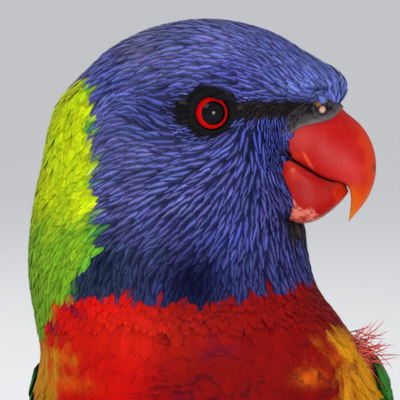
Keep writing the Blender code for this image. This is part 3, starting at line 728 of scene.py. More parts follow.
class Markings:
    """Where each colour of the plumage lies."""

    def paint(self, spots: Spots) -> Paint:
        """The colours at some places.

        Args:
            spots: The places.

        Returns:
            Their colours.
        """
        paint = Paint(len(spots.points))
        self.head(paint, spots)
        self.body(paint, spots)
        self.collar(paint, spots)
        self.mask(paint, spots)
        return paint

    def head(self, paint: Paint, spots: Spots) -> None:
        """Violet-blue head and throat, from the hues round it."""
        weights = []
        for hue in HEAD_HUES.values():
            away = np.hypot(spots.px - hue.px, spots.py - hue.py)
            weights.append(1.0 / (away + 12.0) ** 3)
        weights = np.array(weights)
        weights /= weights.sum(axis=0)
        streaks = np.array([srgb(*hue.streak) for hue in HEAD_HUES.values()])
        grounds = np.array([srgb(*hue.ground) for hue in HEAD_HUES.values()])
        blotch = 1.0 + 0.12 * ripple(spots.points, 5.0, 3)[:, None]
        weak = 1.0 - 0.35 * ramp(spots.py, 225.0, 285.0)
        paint.lay(np.ones(len(spots.points)), weights.T @ grounds * blotch, weights.T @ streaks, weak)

    def mask(self, paint: Paint, spots: Spots) -> None:
        """Black plumage round the eye, behind it, and along the lores, and the black of the chin."""
        away = np.hypot((spots.px - 208.0) / 30.0, (spots.py - 111.5) / 26.5)
        oval = ramp(away + 0.06 * ripple(spots.points, 2.0, 5), 1.06, 0.94)
        behind = ramp(spots.px, 160.0, 170.0) * ramp(spots.px, 215.0, 200.0)
        middle = 113.0 - 0.20 * (185.0 - spots.px)
        behind = behind * bump(spots.py, middle, 5.0 + 0.14 * (spots.px - 164.0).clip(0.0, 40.0))
        lores = ramp(spots.px, 226.0, 238.0) * ramp(np.abs(spots.py - 111.5 - 0.02 * (spots.px - 236)), 11.5, 8.0)
        gape = bump(np.hypot(spots.px - 285.5, spots.py - 158.0), 0.0, 7.5)
        chin = ramp(spots.px, 286.0, 292.0) * ramp(spots.py, 214.0, 222.0) * ramp(spots.py, 258.0, 246.0)
        black = np.clip(oval + behind + lores * (spots.px < 352) + 0.9 * gape + 0.95 * chin, 0.0, 1.0)
        fleck = ramp(ripple(spots.points, 0.9, 8), 0.9, 1.6)[:, None]
        warm = ramp(spots.px, 228.0, 262.0)[:, None]
        ground = srgb(13, 13, 15) * (1 - warm) + srgb(27, 23, 23) * warm
        ground = ground * (1 - fleck) + srgb(76, 56, 46) * fleck
        paint.lay(black, ground, srgb(28, 27, 29) * (1 - warm) + srgb(54, 46, 42) * warm, 0.5)

    def collar(self, paint: Paint, spots: Spots) -> None:
        """Yellow-green collar on the nape, and the green mantle that it runs down into."""
        turn = spots.turn
        blur = 1.2 * ripple(spots.points, 1.6, 12)
        edge = np.interp(spots.py, COLLAR_ROWS, COLLAR_COLUMNS)
        beside = ramp(spots.px + 2.2 * blur, edge + 2.0, edge - 2.0) * ramp(spots.rise, -38.0, -36.0)
        beside *= (spots.points[:, 0] > 0) | (spots.rise > -17.0)
        round_turn = np.where(turn < -20.0, turn + 360.0, turn)
        near_edge = np.interp(spots.rise, MANTLE_RISES, MANTLE_TURNS) + 360.0
        far_edge = np.interp(spots.rise, FAR_RISES, FAR_TURNS)
        far = ramp(round_turn + 2.0 * blur, far_edge - 3.0, far_edge + 3.0)
        near = ramp(round_turn + 2.0 * blur, near_edge + 3.0, near_edge - 3.0)
        low = far * np.where(spots.rise > -36.5, (spots.points[:, 0] < 0) * 1.0, near)
        top = ramp(spots.rise + 0.9 * blur, 3.0, 5.0) * (1.0 - ramp(spots.rise, 12.0, 14.0))
        cover = np.clip(beside + low, 0.0, 1.0) * ramp(spots.rise + blur, 5.5, 3.5)
        bright = ramp(spots.rise + 3.0 * ripple(spots.points, 7.0, 14), -26.0, -14.0)[:, None]
        ground = srgb(96, 146, 26) * (1 - bright) + srgb(170, 192, 8) * bright
        streak = srgb(132, 174, 30) * (1 - bright) + srgb(184, 202, 10) * bright
        reach = 11.0 + 10.0 * ramp(spots.py, 200.0, 250.0)
        to_blue = ramp(edge - spots.px, reach, 1.0) * (spots.rise > -38.0) * (spots.points[:, 0] > -6.0)
        teal = np.clip(to_blue * (0.55 + 0.5 * ripple(spots.points, 3.0, 15)), 0.0, 1.0)[:, None]
        ground = ground * (1 - teal) + srgb(44, 116, 44) * teal
        streak = streak * (1 - teal) + srgb(70, 170, 50) * teal
        back = ramp(spots.rise, -44.0, -62.0)[:, None]
        ground = ground * (1 - back) + srgb(38, 112, 26) * back
        streak = streak * (1 - back) + srgb(66, 146, 36) * back
        paint.lay(cover, ground, streak, 0.8 - 0.35 * back[:, 0])

    def body(self, paint: Paint, spots: Spots) -> None:
        """Red breast with fine dark bars, ochre margins, violet belly, green flanks and vent."""
        turn, rise = np.abs(spots.turn), spots.rise
        ragged = 3.2 * ripple(spots.points, 2.4, 21) + 3.0 * ripple(spots.points, 6.0, 22)
        line = np.interp(spots.px, (80.0, 133.0, 173.0, 250.0, 316.0), (304.0, 300.0, 308.0, 300.0, 293.0))
        below = ramp(spots.py + ragged, line - 2.0, line + 2.0)
        blotch = ripple(spots.points, 5.0, 23)[:, None]
        # Painted shade: the red darkens from the bird's right side, which faces the light, towards the middle and left
        # of the breast
        right = ramp(spots.px, 112.0, 196.0)[:, None]
        red = srgb(194, 10, 4) * (1 - right) + srgb(122, 8, 5) * right
        glow = spots.spot(140, 335, 70, 26)[:, None]
        red = red * (1.0 + 0.10 * blotch) + (srgb(212, 40, 18) - red) * 0.4 * glow
        bars = ripple(spots.points * np.array([0.5, 0.5, 2.2]), 4.2, 24)
        ruled = ramp(spots.px, 60.0, 200.0) * ramp(bars, -0.6, 0.6) * 0.6
        paint.lay(below, red, red * 1.2, 0.2, ruled)
        for px, py, reach, tilt in ((196, 393, 16, -22), (228, 349, 18, -16), (76, 314, 11, 24), (54, 334, 6, 35)):
            paint.lay(spots.spot(px, py, reach, 3.0, tilt) * 0.8 * below, srgb(48, 14, 52), srgb(48, 14, 52), 0.2)
        for px, py, reach in ((60.0, 361.0, 18.0), (66.0, 386.0, 29.0), (316.0, 377.0, 13.0), (349.0, 357.0, 12.0)):
            patch = spots.spot(px, py, reach, 6.5) * 0.9
            paint.lay(patch * below, srgb(212, 92, 8), srgb(228, 140, 18), 0.3)
        top = np.where(spots.turn > 0, 332.0, 346.0)
        side = ramp(turn + 7.0 * ripple(spots.points, 3.4, 25), 58.0, 74.0) * ramp(spots.py, top, top + 14.0)
        paint.lay(side * below, srgb(196, 126, 14), srgb(220, 172, 28), 0.4)
        belly = ramp(spots.points[:, 2] + 2.5 * blotch[:, 0], 74.0, 66.0)
        paint.lay(belly, srgb(30, 28, 104), srgb(58, 58, 176), 0.6)
        flank = belly * ramp(turn + 6.0 * blotch[:, 0], 42.0, 60.0)
        paint.lay(flank, srgb(168, 74, 16), srgb(206, 150, 26), 0.4, 0.5)
        leaf = belly * ramp(turn + 6.0 * blotch[:, 0], 62.0, 84.0)
        paint.lay(leaf, srgb(78, 128, 22), srgb(150, 176, 34), 0.5)
        vent = ramp(spots.points[:, 0], -34.0, -46.0) * belly
        paint.lay(vent, srgb(126, 140, 20), srgb(188, 186, 40), 0.4, 0.2)
        rump = ramp(turn, 96.0, 118.0) * ramp(rise, -40.0, -50.0)
        paint.lay(rump, srgb(26, 94, 22), srgb(58, 140, 36), 0.5)


# Lie of the plumage


@dataclass(frozen=True)
class Lie:
    """The way the head's feathers point at one place of the picture, in degrees.

    0 points straight away from the bill, 90 down, and a negative angle up.
    """

    px: float
    py: float
    degrees: float


HEAD_LIE = (
    Lie(344, 95, -70),
    Lie(315, 75, -37),
    Lie(300, 75, -38),
    Lie(280, 70, -35),
    Lie(250, 70, -12),
    Lie(212, 75, -3),
    Lie(215, 30, 0),
    Lie(175, 82, 12),
    Lie(150, 40, 35),
    Lie(110, 80, 30),
    Lie(155, 120, -40),
    Lie(170, 145, -5),
    Lie(200, 150, 17),
    Lie(235, 160, 28),
    Lie(245, 180, 55),
    Lie(262, 155, 95),
    Lie(285, 140, 110),
    Lie(280, 190, 125),
    Lie(150, 170, 13),
    Lie(110, 200, 25),
    Lie(150, 230, 40),
    Lie(190, 230, 47),
    Lie(230, 240, 55),
    Lie(260, 240, 80),
    Lie(310, 250, 100),
    Lie(130, 280, 90),
    Lie(70, 90, 75),
    Lie(60, 150, 88),
)
BODY_LIE = np.array([-0.6, 0.0, -0.8])


def lie_of(points: np.ndarray) -> np.ndarray:
    """The direction of the feathers' lie at each point, before it is laid on the skin."""
    px = EYE_PIXEL[0] + (points[:, 1] - EYE_SIDE) / PIXEL
    py = EYE_PIXEL[1] - (points[:, 2] - EYE_HEIGHT) / PIXEL
    sums = np.zeros((len(points), 2))
    for mark in HEAD_LIE:
        away = np.hypot(px - mark.px, py - mark.py)
        weight = 1.0 / (away + 7.0) ** 3
        angle = math.radians(mark.degrees)
        sums += weight[:, None] * np.array([math.cos(angle), math.sin(angle)])
    sums = unit(sums)
    head = np.stack([np.zeros(len(points)), -sums[:, 0], -sums[:, 1]], axis=1)
    to_body = ramp(points[:, 2] - EYE_HEIGHT, -24.0, -42.0)[:, None]
    neck = np.array([0.0, 0.0, -1.0])
    body_share = ramp(points[:, 2], 112.0, 92.0)[:, None]
    body = neck * (1 - body_share) + BODY_LIE * body_share
    return unit(head * (1 - to_body) + body * to_body)


# Coat


class Tract(Enum):
    """A tract of plumage, which becomes one piece of the coat."""

    FACE = "face"
    CROWN = "crown"
    BROW = "brow"
    CHEEK = "cheek"
    THROAT = "throat"
    GORGET = "gorget"
    COLLAR = "collar"
    BREAST = "breast"
    BELLY = "belly"
    FLANK = "flank"
    MANTLE = "mantle"
    RUMP = "rump"
    VENT = "vent"
    THIGH = "thigh"


@dataclass(frozen=True)
class Feather:
    """The usual size of one tract's feathers, in millimetres.

    roundness is 0 for a pointed tip and 1 for a round one. depth is how far the root lies under the
    plumage's surface, and lift how far the tip stands over it. soft is how much the plumage's own
    slope outweighs the feather's in its shading, and shade how much one differs from the next.
    """

    spacing: float
    length: float
    half_width: float
    depth: float
    lift: float
    roundness: float
    scatter: float = 7.0
    broad: bool = False
    soft: float = 1.6
    shade: float = 0.16


FEATHERS = {
    Tract.FACE: Feather(0.58, 1.6, 0.36, 0.35, 0.02, 0.6, 12.0),
    Tract.CROWN: Feather(1.2, 5.2, 1.02, 0.75, 0.05, 0.45, 6.0, soft=2.6),
    Tract.BROW: Feather(0.8, 3.6, 0.74, 0.45, 0.02, 0.5, 6.0, soft=2.6),
    Tract.CHEEK: Feather(1.16, 5.4, 0.96, 0.7, 0.03, 0.4, 5.0, soft=2.6),
    Tract.THROAT: Feather(1.12, 5.0, 1.0, 0.75, 0.05, 0.5, 7.0, soft=2.6),
    Tract.GORGET: Feather(0.86, 3.3, 0.88, 0.4, 0.01, 0.9, 7.0, soft=6.0, shade=0.06),
    Tract.COLLAR: Feather(0.96, 4.8, 1.1, 0.5, 0.16, 0.8, 9.0, soft=4.0, shade=0.1),
    Tract.BREAST: Feather(1.45, 7.2, 1.9, 0.55, 0.02, 0.85, 5.0, True, 9.0, 0.05),
    Tract.BELLY: Feather(2.0, 8.5, 2.2, 1.8, 0.25, 0.9, 8.0, True, 5.0, 0.08),
    Tract.FLANK: Feather(2.1, 9.0, 2.3, 1.8, 0.25, 0.85, 8.0, True, 5.0, 0.1),
    Tract.MANTLE: Feather(2.1, 8.6, 2.5, 1.7, 0.22, 0.95, 5.0, True, 3.5, 0.1),
    Tract.RUMP: Feather(2.2, 9.5, 2.5, 1.7, 0.25, 0.9, 5.0, True, 3.5, 0.1),
    Tract.VENT: Feather(2.1, 9.5, 2.2, 1.7, 0.3, 0.85, 7.0, True, 5.0, 0.1),
    Tract.THIGH: Feather(1.5, 6.0, 1.3, 1.2, 0.2, 0.7, 8.0),
}


def vane_width(t: np.ndarray, roundness: float) -> np.ndarray:
    """A feather's half width along its length, as a share of the widest."""
    start = 0.45 + 0.55 * np.clip(t / 0.4, 0.0, 1.0)
    end = np.clip((1.0 - t) / 0.5, 0.0, 1.0) ** (0.45 + 0.55 * (1.0 - roundness))
    return start * end


class VanePattern:
    """One feather, modelled once at unit size and read as arrays that every copy is made from.

    A point's place is given as across, from -1 to 1, along, from 0 to 1, and its height, from 0 at
    the vane's edge to 1 on its shaft.
    """

    def __init__(self, bench: Workbench, stations: Sequence[float], profile: Sequence[tuple]) -> None:
        """Models the feather and reads it.

        Args:
            bench: The modelling tools.
            stations: Shares of the length at which its slices stand. The last is the tip.
            profile: The slice's points, as across and height.
        """
        self.stations = np.array(stations)
        ring = np.array(profile, float)
        slices = [np.column_stack([ring[:, 0], np.full(len(ring), t), ring[:, 1]]) for t in stations]
        model = bench.ring_loft("vane", slices)
        points = bench.millimetres(np.array([v.co for v in model.data.vertices]))
        corners = np.array([t for f in model.data.polygons for t in self.split(list(f.vertices), points)])
        bpy.data.objects.remove(model)
        station = np.abs(points[:, 1][:, None] - self.stations).argmin(axis=1)
        tip = len(stations) - 1
        first_tip = np.flatnonzero(station == tip)[0]
        one = np.where(station == tip, first_tip, np.arange(len(points)))
        corners = one[corners]
        whole = (corners[:, 0] != corners[:, 1]) & (corners[:, 1] != corners[:, 2])
        corners = corners[whole & (corners[:, 0] != corners[:, 2])]
        used = np.unique(corners)
        renumber = np.full(len(points), -1)
        renumber[used] = np.arange(len(used))
        self.corners = renumber[corners]
        self.station = station[used]
        self.across = np.where(self.station == tip, 0.0, points[used, 0])
        self.height = np.where(self.station == tip, 0.5, points[used, 2])
        self.along = self.stations[self.station]

    @staticmethod
    def split(face: list[int], points: np.ndarray) -> list[list[int]]:
        """Cuts a face into triangles, the same way on the vane's upper and lower side.

        Args:
            face: The numbers of its points.
            points: Every point, as across, along and height.

        Returns:
            The triangles' point numbers.
        """
        across, along, height = points[face].T
        flat = np.ptp(along) == 0.0
        order = np.abs(across) * 100.0 + height if flat else along * 100.0 + across
        start = int(np.argmin(order))
        face = face[start:] + face[:start]
        return [[face[0], face[i], face[i + 1]] for i in range(1, len(face) - 1)]


@dataclass
class Vanes:
    """Many feathers of one pattern: their points, colours, place on the unwrap, and shading.

    beneath is the normal of the plumage under each point, which softens the shading where it is given.
    local is the ground's colour at each point, which is mixed with the feather's own.
    """

    pattern: VanePattern
    points: np.ndarray
    paint: Paint
    place: np.ndarray
    patch: tuple[float, float] = (0.003, 0.003)
    beneath: np.ndarray | None = None
    local: np.ndarray | None = None

    def count(self) -> int:
        """How many feathers there are."""
        return len(self.points)


def vanes_mesh(
    bench: Workbench, name: str, groups: Sequence[Vanes], flip: bool = False
) -> bpy.types.Object:
    """Joins feathers into one mesh with their attributes and maps.

    Args:
        bench: The modelling tools.
        name: The object's name.
        groups: The feathers, group by group.
        flip: Whether the pattern was laid mirrored, so that its faces have to be turned.

    Returns:
        The object.
    """
    points, corners, ground, streak, vane_map, bake_map, beneath = [], [], [], [], [], [], []
    start = 0
    for group in groups:
        pattern, count = group.pattern, group.count()
        each = len(pattern.across)
        points.append(group.points.reshape(-1, 3))
        shift = start + np.arange(count)[:, None, None] * each
        corners.append((pattern.corners[None] + shift).reshape(-1, 3))
        start += count * each
        paint = group.paint
        # Painted shade: each feather's ground darkens towards its root, where it lies under the feathers above it
        root = np.clip(0.35 + 1.5 * pattern.along, 0.0, 1.0)
        base = paint.ground[:, None, :]
        if group.local is not None:
            base = 0.25 * base + 0.75 * group.local
        shade = root[None, :, None] * base
        strength = np.broadcast_to(paint.strength[:, None, None], (count, each, 1))
        ground.append(np.concatenate([shade, strength], axis=2).reshape(-1, 4))
        light = np.broadcast_to(paint.streak[:, None, :], (count, each, 3))
        bar = np.broadcast_to(paint.bar[:, None, None], (count, each, 1))
        streak.append(np.concatenate([light, bar], axis=2).reshape(-1, 4))
        own = np.column_stack([pattern.across / 2 + 0.5, pattern.along])
        vane_map.append(np.broadcast_to(own, (count, each, 2)).reshape(-1, 2))
        patch = (own - 0.5) * np.array(group.patch)
        bake_map.append((group.place[:, None, :] + patch[None]).reshape(-1, 2))
        if group.beneath is not None:
            beneath.append(group.beneath.reshape(-1, 3))
    points, corners = np.vstack(points), np.vstack(corners)
    if flip:
        corners = corners[:, ::-1]
    mesh = bpy.data.meshes.new(name)
    mesh.vertices.add(len(points))
    mesh.vertices.foreach_set("co", bench.metres(points).ravel())
    mesh.loops.add(corners.size)
    mesh.loops.foreach_set("vertex_index", corners.ravel())
    mesh.polygons.add(len(corners))
    mesh.polygons.foreach_set("loop_start", np.arange(0, corners.size, 3))
    mesh.update()
    for label, values in (("Ground", ground), ("Streak", streak)):
        layer = mesh.color_attributes.new(label, "FLOAT_COLOR", "POINT")
        layer.data.foreach_set("color", np.vstack(values).ravel())
    for label, values in (("Vane", vane_map), ("OFBake", bake_map)):
        layer = mesh.uv_layers.new(name=label)
        layer.data.foreach_set("uv", np.vstack(values)[corners.ravel()].ravel())
    mesh.validate()
    mesh.shade_smooth()
    if beneath:
        own = np.array([v.vector for v in mesh.vertex_normals])
        mesh.normals_split_custom_set_from_vertices(unit(own + np.vstack(beneath)))
    obj = bpy.data.objects.new(name, mesh)
    bpy.context.scene.collection.objects.link(obj)
    return obj


UNDER_HEIGHT = 0.05
# The picture's columns of the feathers' edge on the bill, down its height
BILL_COLUMNS = (294.0, 290.0, 288.0, 284.0, 286.0, 289.0, 291.0)
# A hollow in the throat beside the lower bill: its place aside, ahead of the eye and over it
POCKET = (6.4, 16.3, -17.5)
POCKET_RADIUS = 4.2


def lay_vanes(
    pattern: VanePattern,
    path: np.ndarray,
    normal: np.ndarray,
    half_width: np.ndarray,
    heights: np.ndarray,
    roundness: float,
    roll: np.ndarray,
) -> tuple[np.ndarray, np.ndarray]:
    """The points of many feathers along their paths.

    Args:
        pattern: The feather that is copied.
        path: A point for each feather and station.
        normal: The skin's normal at each of those points.
        half_width: Each feather's half width.
        heights: How far the vane stands over the path, for each feather and station.
        roundness: How round the tips are.
        roll: Each feather's turn about its own shaft, as the rise of one edge for each mm of width.

    Returns:
        Each feather's points, and the plumage's normal under each of them.
    """
    heading = unit(np.gradient(path, axis=1))
    aside = unit(np.cross(normal, heading))
    out = unit(np.cross(heading, aside))
    width = vane_width(pattern.stations, roundness)
    k = pattern.station
    across = pattern.across[None] * half_width[:, None] * width[k][None]
    ridge = 0.06 * half_width[:, None] * (0.3 + 0.7 * width[k][None])
    cupped = -0.10 * across**2 / half_width[:, None]
    rise = heights[:, k] + pattern.height[None] * ridge + cupped + roll[:, None] * across
    points = path[:, k] + aside[:, k] * across[..., None] + out[:, k] * rise[..., None]
    under = (pattern.height == UNDER_HEIGHT) & (k < len(pattern.stations) - 1)
    return points, normal[:, k] * np.where(under, -1.0, 1.0)[None, :, None]


class Coat:
    """The body's plumage: solid vanes over the skin, root by root, in the lie of each tract."""

    STREAKED = ((0.0, 0.3, 0.6, 0.85, 1.0), ((-1, 0), (0, 1), (1, 0), (0, UNDER_HEIGHT)))
    BROAD = (
        (0.0, 0.3, 0.58, 0.8, 0.94, 1.0),
        ((-1, 0), (-0.5, 0.75), (0, 1), (0.5, 0.75), (1, 0), (0, UNDER_HEIGHT)),
    )

    def __init__(self, bench: Workbench, markings: Markings, body: BodyForm) -> None:
        """Models the two feathers that the coat is copied from.

        Args:
            bench: The modelling tools.
            markings: Where each colour lies.
            body: The form that the coat covers.
        """
        self.bench = bench
        self.markings = markings
        self.body = body
        self.streaked = VanePattern(bench, *self.STREAKED)
        self.broad = VanePattern(bench, *self.BROAD)
        self.rng = np.random.default_rng(SEED)

    @staticmethod
    def tract_of(spots: Spots) -> np.ndarray:
        """The number of the tract that each place lies in."""
        order = list(Tract)
        noise = 1.2 * ripple(spots.points, 2.0, 31)
        rise, turn, fore = spots.rise + noise, np.abs(spots.turn) + 3.0 * noise, spots.points[:, 1]
        tract = np.full(len(spots.points), order.index(Tract.CHEEK))

        def set_where(mask: np.ndarray, name: Tract) -> None:
            """Moves the places of a mask to a tract."""
            tract[mask] = order.index(name)

        green = spots.px < np.interp(spots.py, COLLAR_ROWS, COLLAR_COLUMNS)
        set_where(rise > 1.0, Tract.CROWN)
        set_where((rise > 1.0) & (spots.px > 242.0 + 5.0 * noise), Tract.BROW)
        set_where((rise < -8.0) & (rise > -22.0) & (spots.px > 265.0 + 4.0 * noise), Tract.BROW)
        set_where(rise < -22.0, Tract.THROAT)
        set_where(rise + 1.2 * noise < -30.5, Tract.GORGET)
        behind = (spots.points[:, 0] < -4.0) & (rise < -17.0) & (fore < 12.0)
        set_where((rise < 4.5) & (green | behind), Tract.COLLAR)
        set_where((rise < -39.0) & (turn < 115.0), Tract.BREAST)
        set_where((rise < -40.0) & (turn >= 115.0), Tract.MANTLE)
        low = spots.points[:, 2] < 74.0 + noise
        set_where(low & (turn < 55.0), Tract.BELLY)
        set_where(low & (turn >= 55.0), Tract.FLANK)
        set_where(low & (turn >= 120.0), Tract.MANTLE)
        set_where((spots.points[:, 0] < -40.0) & (turn < 100.0), Tract.VENT)
        set_where((spots.points[:, 0] < -46.0) & (turn >= 100.0), Tract.RUMP)
        oval = np.hypot((spots.px - 208.0) / 31.0, (spots.py - 111.5) / 28.0) < 1.12
        lores = (spots.px > 220.0) & (np.abs(spots.py - 111.0) < 14.0)
        bill = (spots.px > 268.0) & (spots.py > 96.0) & (spots.py < 168.0)
        set_where((oval | lores | bill) & (rise > -14.0), Tract.FACE)
        return tract

    @staticmethod
    def spread(points: np.ndarray, spacing: float) -> np.ndarray:
        """The numbers of the points that are kept so that none is nearer to another than spacing."""
        cells: dict[tuple[int, int, int], list[np.ndarray]] = {}
        near = [(i, j, k) for i in (-1, 0, 1) for j in (-1, 0, 1) for k in (-1, 0, 1)]
        keys = np.floor(points / spacing).astype(int)
        limit = spacing * spacing
        kept = []
        for number, (x, y, z) in enumerate(keys.tolist()):
            px, py, pz = points[number].tolist()
            free = True
            for i, j, k in near:
                for qx, qy, qz in cells.get((x + i, y + j, z + k), ()):
                    if (px - qx) ** 2 + (py - qy) ** 2 + (pz - qz) ** 2 < limit:
                        free = False
                        break
                if not free:
                    break
            if free:
                cells.setdefault((x, y, z), []).append((px, py, pz))
                kept.append(number)
        return np.array(kept, int)

    def grow(self, tract: Tract, surface: Surface, roots: np.ndarray, face: np.ndarray) -> Vanes:
        """The feathers of one tract, from roots that lie on a surface.

        Args:
            tract: The tract, which gives their sizes.
            surface: The surface at the height of the plumage.
            roots: The roots' places on it.
            face: The faces that the roots lie on.

        Returns:
            The feathers.
        """
        size = FEATHERS[tract]
        pattern = self.broad if size.broad else self.streaked
        count = len(roots)
        length = size.length * self.rng.normal(1.0, 0.1, count).clip(0.7, 1.3)
        half_width = size.half_width * self.rng.normal(1.0, 0.1, count).clip(0.7, 1.3)
        sway = np.radians(self.rng.normal(0.0, size.scatter, count))
        place, where = roots.copy(), face.copy()
        path, normals = [place], [surface.normals[where]]
        stations = pattern.stations
        for before, after in zip(stations[:-1], stations[1:]):
            normal = surface.normals[where]
            way = lie_of(place)
            way = way - normal * (way * normal).sum(axis=1)[:, None]
            way = unit(way)
            way = way * np.cos(sway)[:, None] + np.cross(normal, way) * np.sin(sway)[:, None]
            place = place + way * (length * (after - before))[:, None]
            place, where = surface.nearest(place)
            path.append(place)
            normals.append(surface.normals[where])
        path, normals = np.stack(path, axis=1), np.stack(normals, axis=1)
        rise = (1.0 - (1.0 - stations) ** 1.6) * (size.depth + size.lift) - size.depth
        tips = self.rng.normal(1.0, 0.35, count)[:, None] * 0.12 * size.depth * stations[None] ** 2
        heights = rise[None] + tips + self.overlap(surface, roots, face)[:, None] * stations[None]
        roll = self.rng.normal(0.0, 0.05, count)
        points, beneath = lay_vanes(pattern, path, normals, half_width, heights, size.roundness, roll)
        beneath = beneath * size.soft
        ring, side = np.divmod(where, surface.sides)
        turn = (side + 0.5) * 360.0 / surface.sides
        turn = np.where(turn > 180.0, turn - 360.0, turn)
        tip_spots = Spots(path[:, -1] * 0.6 + path[:, -2] * 0.4, turn)
        paint = self.markings.paint(tip_spots)
        shade = np.exp(self.rng.normal(0.0, size.shade, count))[:, None]
        tint = np.exp(self.rng.normal(0.0, size.shade / 3, (count, 3)))
        paint.ground = (paint.ground * shade * tint).clip(0.0, 1.0)
        paint.streak = (paint.streak * shade**1.4 * tint).clip(0.0, 1.0)
        local = None
        if size.broad:
            turns = np.repeat(turn, points.shape[1])
            local = self.markings.paint(Spots(points.reshape(-1, 3), turns)).ground.reshape(points.shape)
            local = local * (shade * tint)[:, None]
        return Vanes(pattern, points, paint, surface.unwrap(face), beneath=beneath, local=local)

    def overlap(self, surface: Surface, roots: np.ndarray, face: np.ndarray) -> np.ndarray:
        """How far the breast's side feathers stand out over the bend of the wing."""
        if surface is not self.body.surface:
            return np.zeros(len(roots))
        turn = np.abs(self.body.spots(roots, face).turn)
        level = ramp(roots[:, 2], 108.0, 98.0) * ramp(roots[:, 2], 66.0, 76.0)
        return 2.4 * ramp(turn, 66.0, 84.0) * ramp(turn, 104.0, 96.0) * level * ramp(roots[:, 0], -24.0, -14.0)

    def bill_edge(self, surface: Surface) -> Vanes:
        """The small feathers that lie over the rear edge of one half of the bill."""
        points, face = surface.scatter(16000, self.rng)
        spots = Spots(points, np.zeros(len(points)))
        edge = np.interp(spots.py, (120.0, 135.0, 152.0, 162.0, 183.0, 200.0, 222.0), BILL_COLUMNS)
        edge = edge + 1.6 * ripple(points, 0.8, 33) - 5.5
        near = (spots.px < edge) & (spots.py > 116.0) & (spots.py < 208.0) & (np.abs(points[:, 0]) > 1.5)
        points, face = points[near], face[near]
        kept = self.spread(points, 0.55)
        return self.grow(Tract.BROW, surface, points[kept], face[kept])

    def loose_tuft(self) -> Vanes:
        """A loose downy red tuft that stands out behind the bend of the left wing."""
        count = 150
        stations = self.streaked.stations
        root = np.array([2.0, 27.2, 103.3]) + self.rng.normal(0.0, 1.4, (count, 3))
        lean = np.radians(self.rng.normal(-6.0, 24.0, count))
        way = np.stack([np.full(count, -0.25), np.cos(lean), np.sin(lean)], axis=1)
        length = self.rng.normal(4.8, 1.5, count).clip(2.0, 7.5)[:, None, None]
        path = root[:, None] + unit(way)[:, None] * length * stations[None, :, None]
        curl = self.rng.normal((0.0, -0.2, -0.8), (1.2, 1.2, 2.2), (count, 3))
        path += curl[:, None] * stations[None, :, None] ** 2
        normal = np.broadcast_to(np.array([1.0, 0.1, 0.2]) / 1.03, path.shape)
        flat = np.zeros((count, len(stations)))
        points, beneath = lay_vanes(self.streaked, path, normal, np.full(count, 0.13), flat, 0.4, flat[:, 0])
        paint = Paint(count)
        shade = np.exp(self.rng.normal(0.0, 0.25, (count, 1)))
        paint.ground, paint.streak = srgb(178, 60, 52) * shade, srgb(206, 112, 100) * shade
        place = np.column_stack([np.linspace(0.02, 0.3, count), np.full(count, 0.98)])
        return Vanes(self.streaked, points, paint, place, beneath=beneath)

    def cover(self) -> dict[Tract, list[Vanes]]:
        """Feathers over the whole body, tract by tract."""
        surface = self.body.surface
        points, face = surface.scatter(340000, self.rng)
        spots = self.body.spots(points, face)
        tract = self.tract_of(spots)
        free = self.body.is_open(spots)
        coats: dict[Tract, list[Vanes]] = {}
        for number, name in enumerate(Tract):
            chosen = np.flatnonzero(free & (tract == number))
            if not len(chosen):
                continue
            kept = chosen[self.spread(points[chosen], FEATHERS[name].spacing)]
            coats.setdefault(name, []).append(self.grow(name, surface, points[kept], face[kept]))
            LOG.info("%s: %d feathers", name.value, len(kept))
        for thigh in self.body.thighs:
            points, face = thigh.scatter(16000, self.rng)
            outside = self.body.outside(points, 0.6)
            points, face = points[outside], face[outside]
            kept = self.spread(points, FEATHERS[Tract.THIGH].spacing)
            coats.setdefault(Tract.THIGH, []).append(
                self.grow(Tract.THIGH, thigh, points[kept], face[kept])
            )
        coats[Tract.FACE] += [self.bill_edge(half) for half in self.body.bill]
        coats[Tract.BREAST].append(self.loose_tuft())
        points, face = self.body.brow.scatter(12000, self.rng)
        outside = self.body.outside(points, 0.3) & (points[:, 2] > EYE_HEIGHT + 0.6)
        points, face = points[outside], face[outside]
        kept = self.spread(points, FEATHERS[Tract.BROW].spacing)
        coats[Tract.BROW].append(self.grow(Tract.BROW, self.body.brow, points[kept], face[kept]))
        return coats

    def build(self) -> None:
        """Builds and delivers every tract's piece."""
        looks = {
            False: FeatherFinish("streaked_plumage").make(),
            True: FeatherFinish("broad_plumage", 0.16, 34.0, 7.0, 0.1, specular=0.02).make(),
        }
        slots = {
            Tract.FACE: "head_plumage",
            Tract.CROWN: "head_plumage",
            Tract.BROW: "head_plumage",
            Tract.CHEEK: "head_plumage",
            Tract.THROAT: "neck_plumage",
            Tract.GORGET: "neck_plumage",
            Tract.COLLAR: "neck_plumage",
            Tract.THIGH: "thigh_plumage",
        }
        for tract, groups in self.cover().items():
            piece = vanes_mesh(self.bench, f"coat_{tract.value}", groups, True)
            slot = slots.get(tract, "breast_plumage")
            self.bench.deliver(piece, looks[FEATHERS[tract].broad], slot)


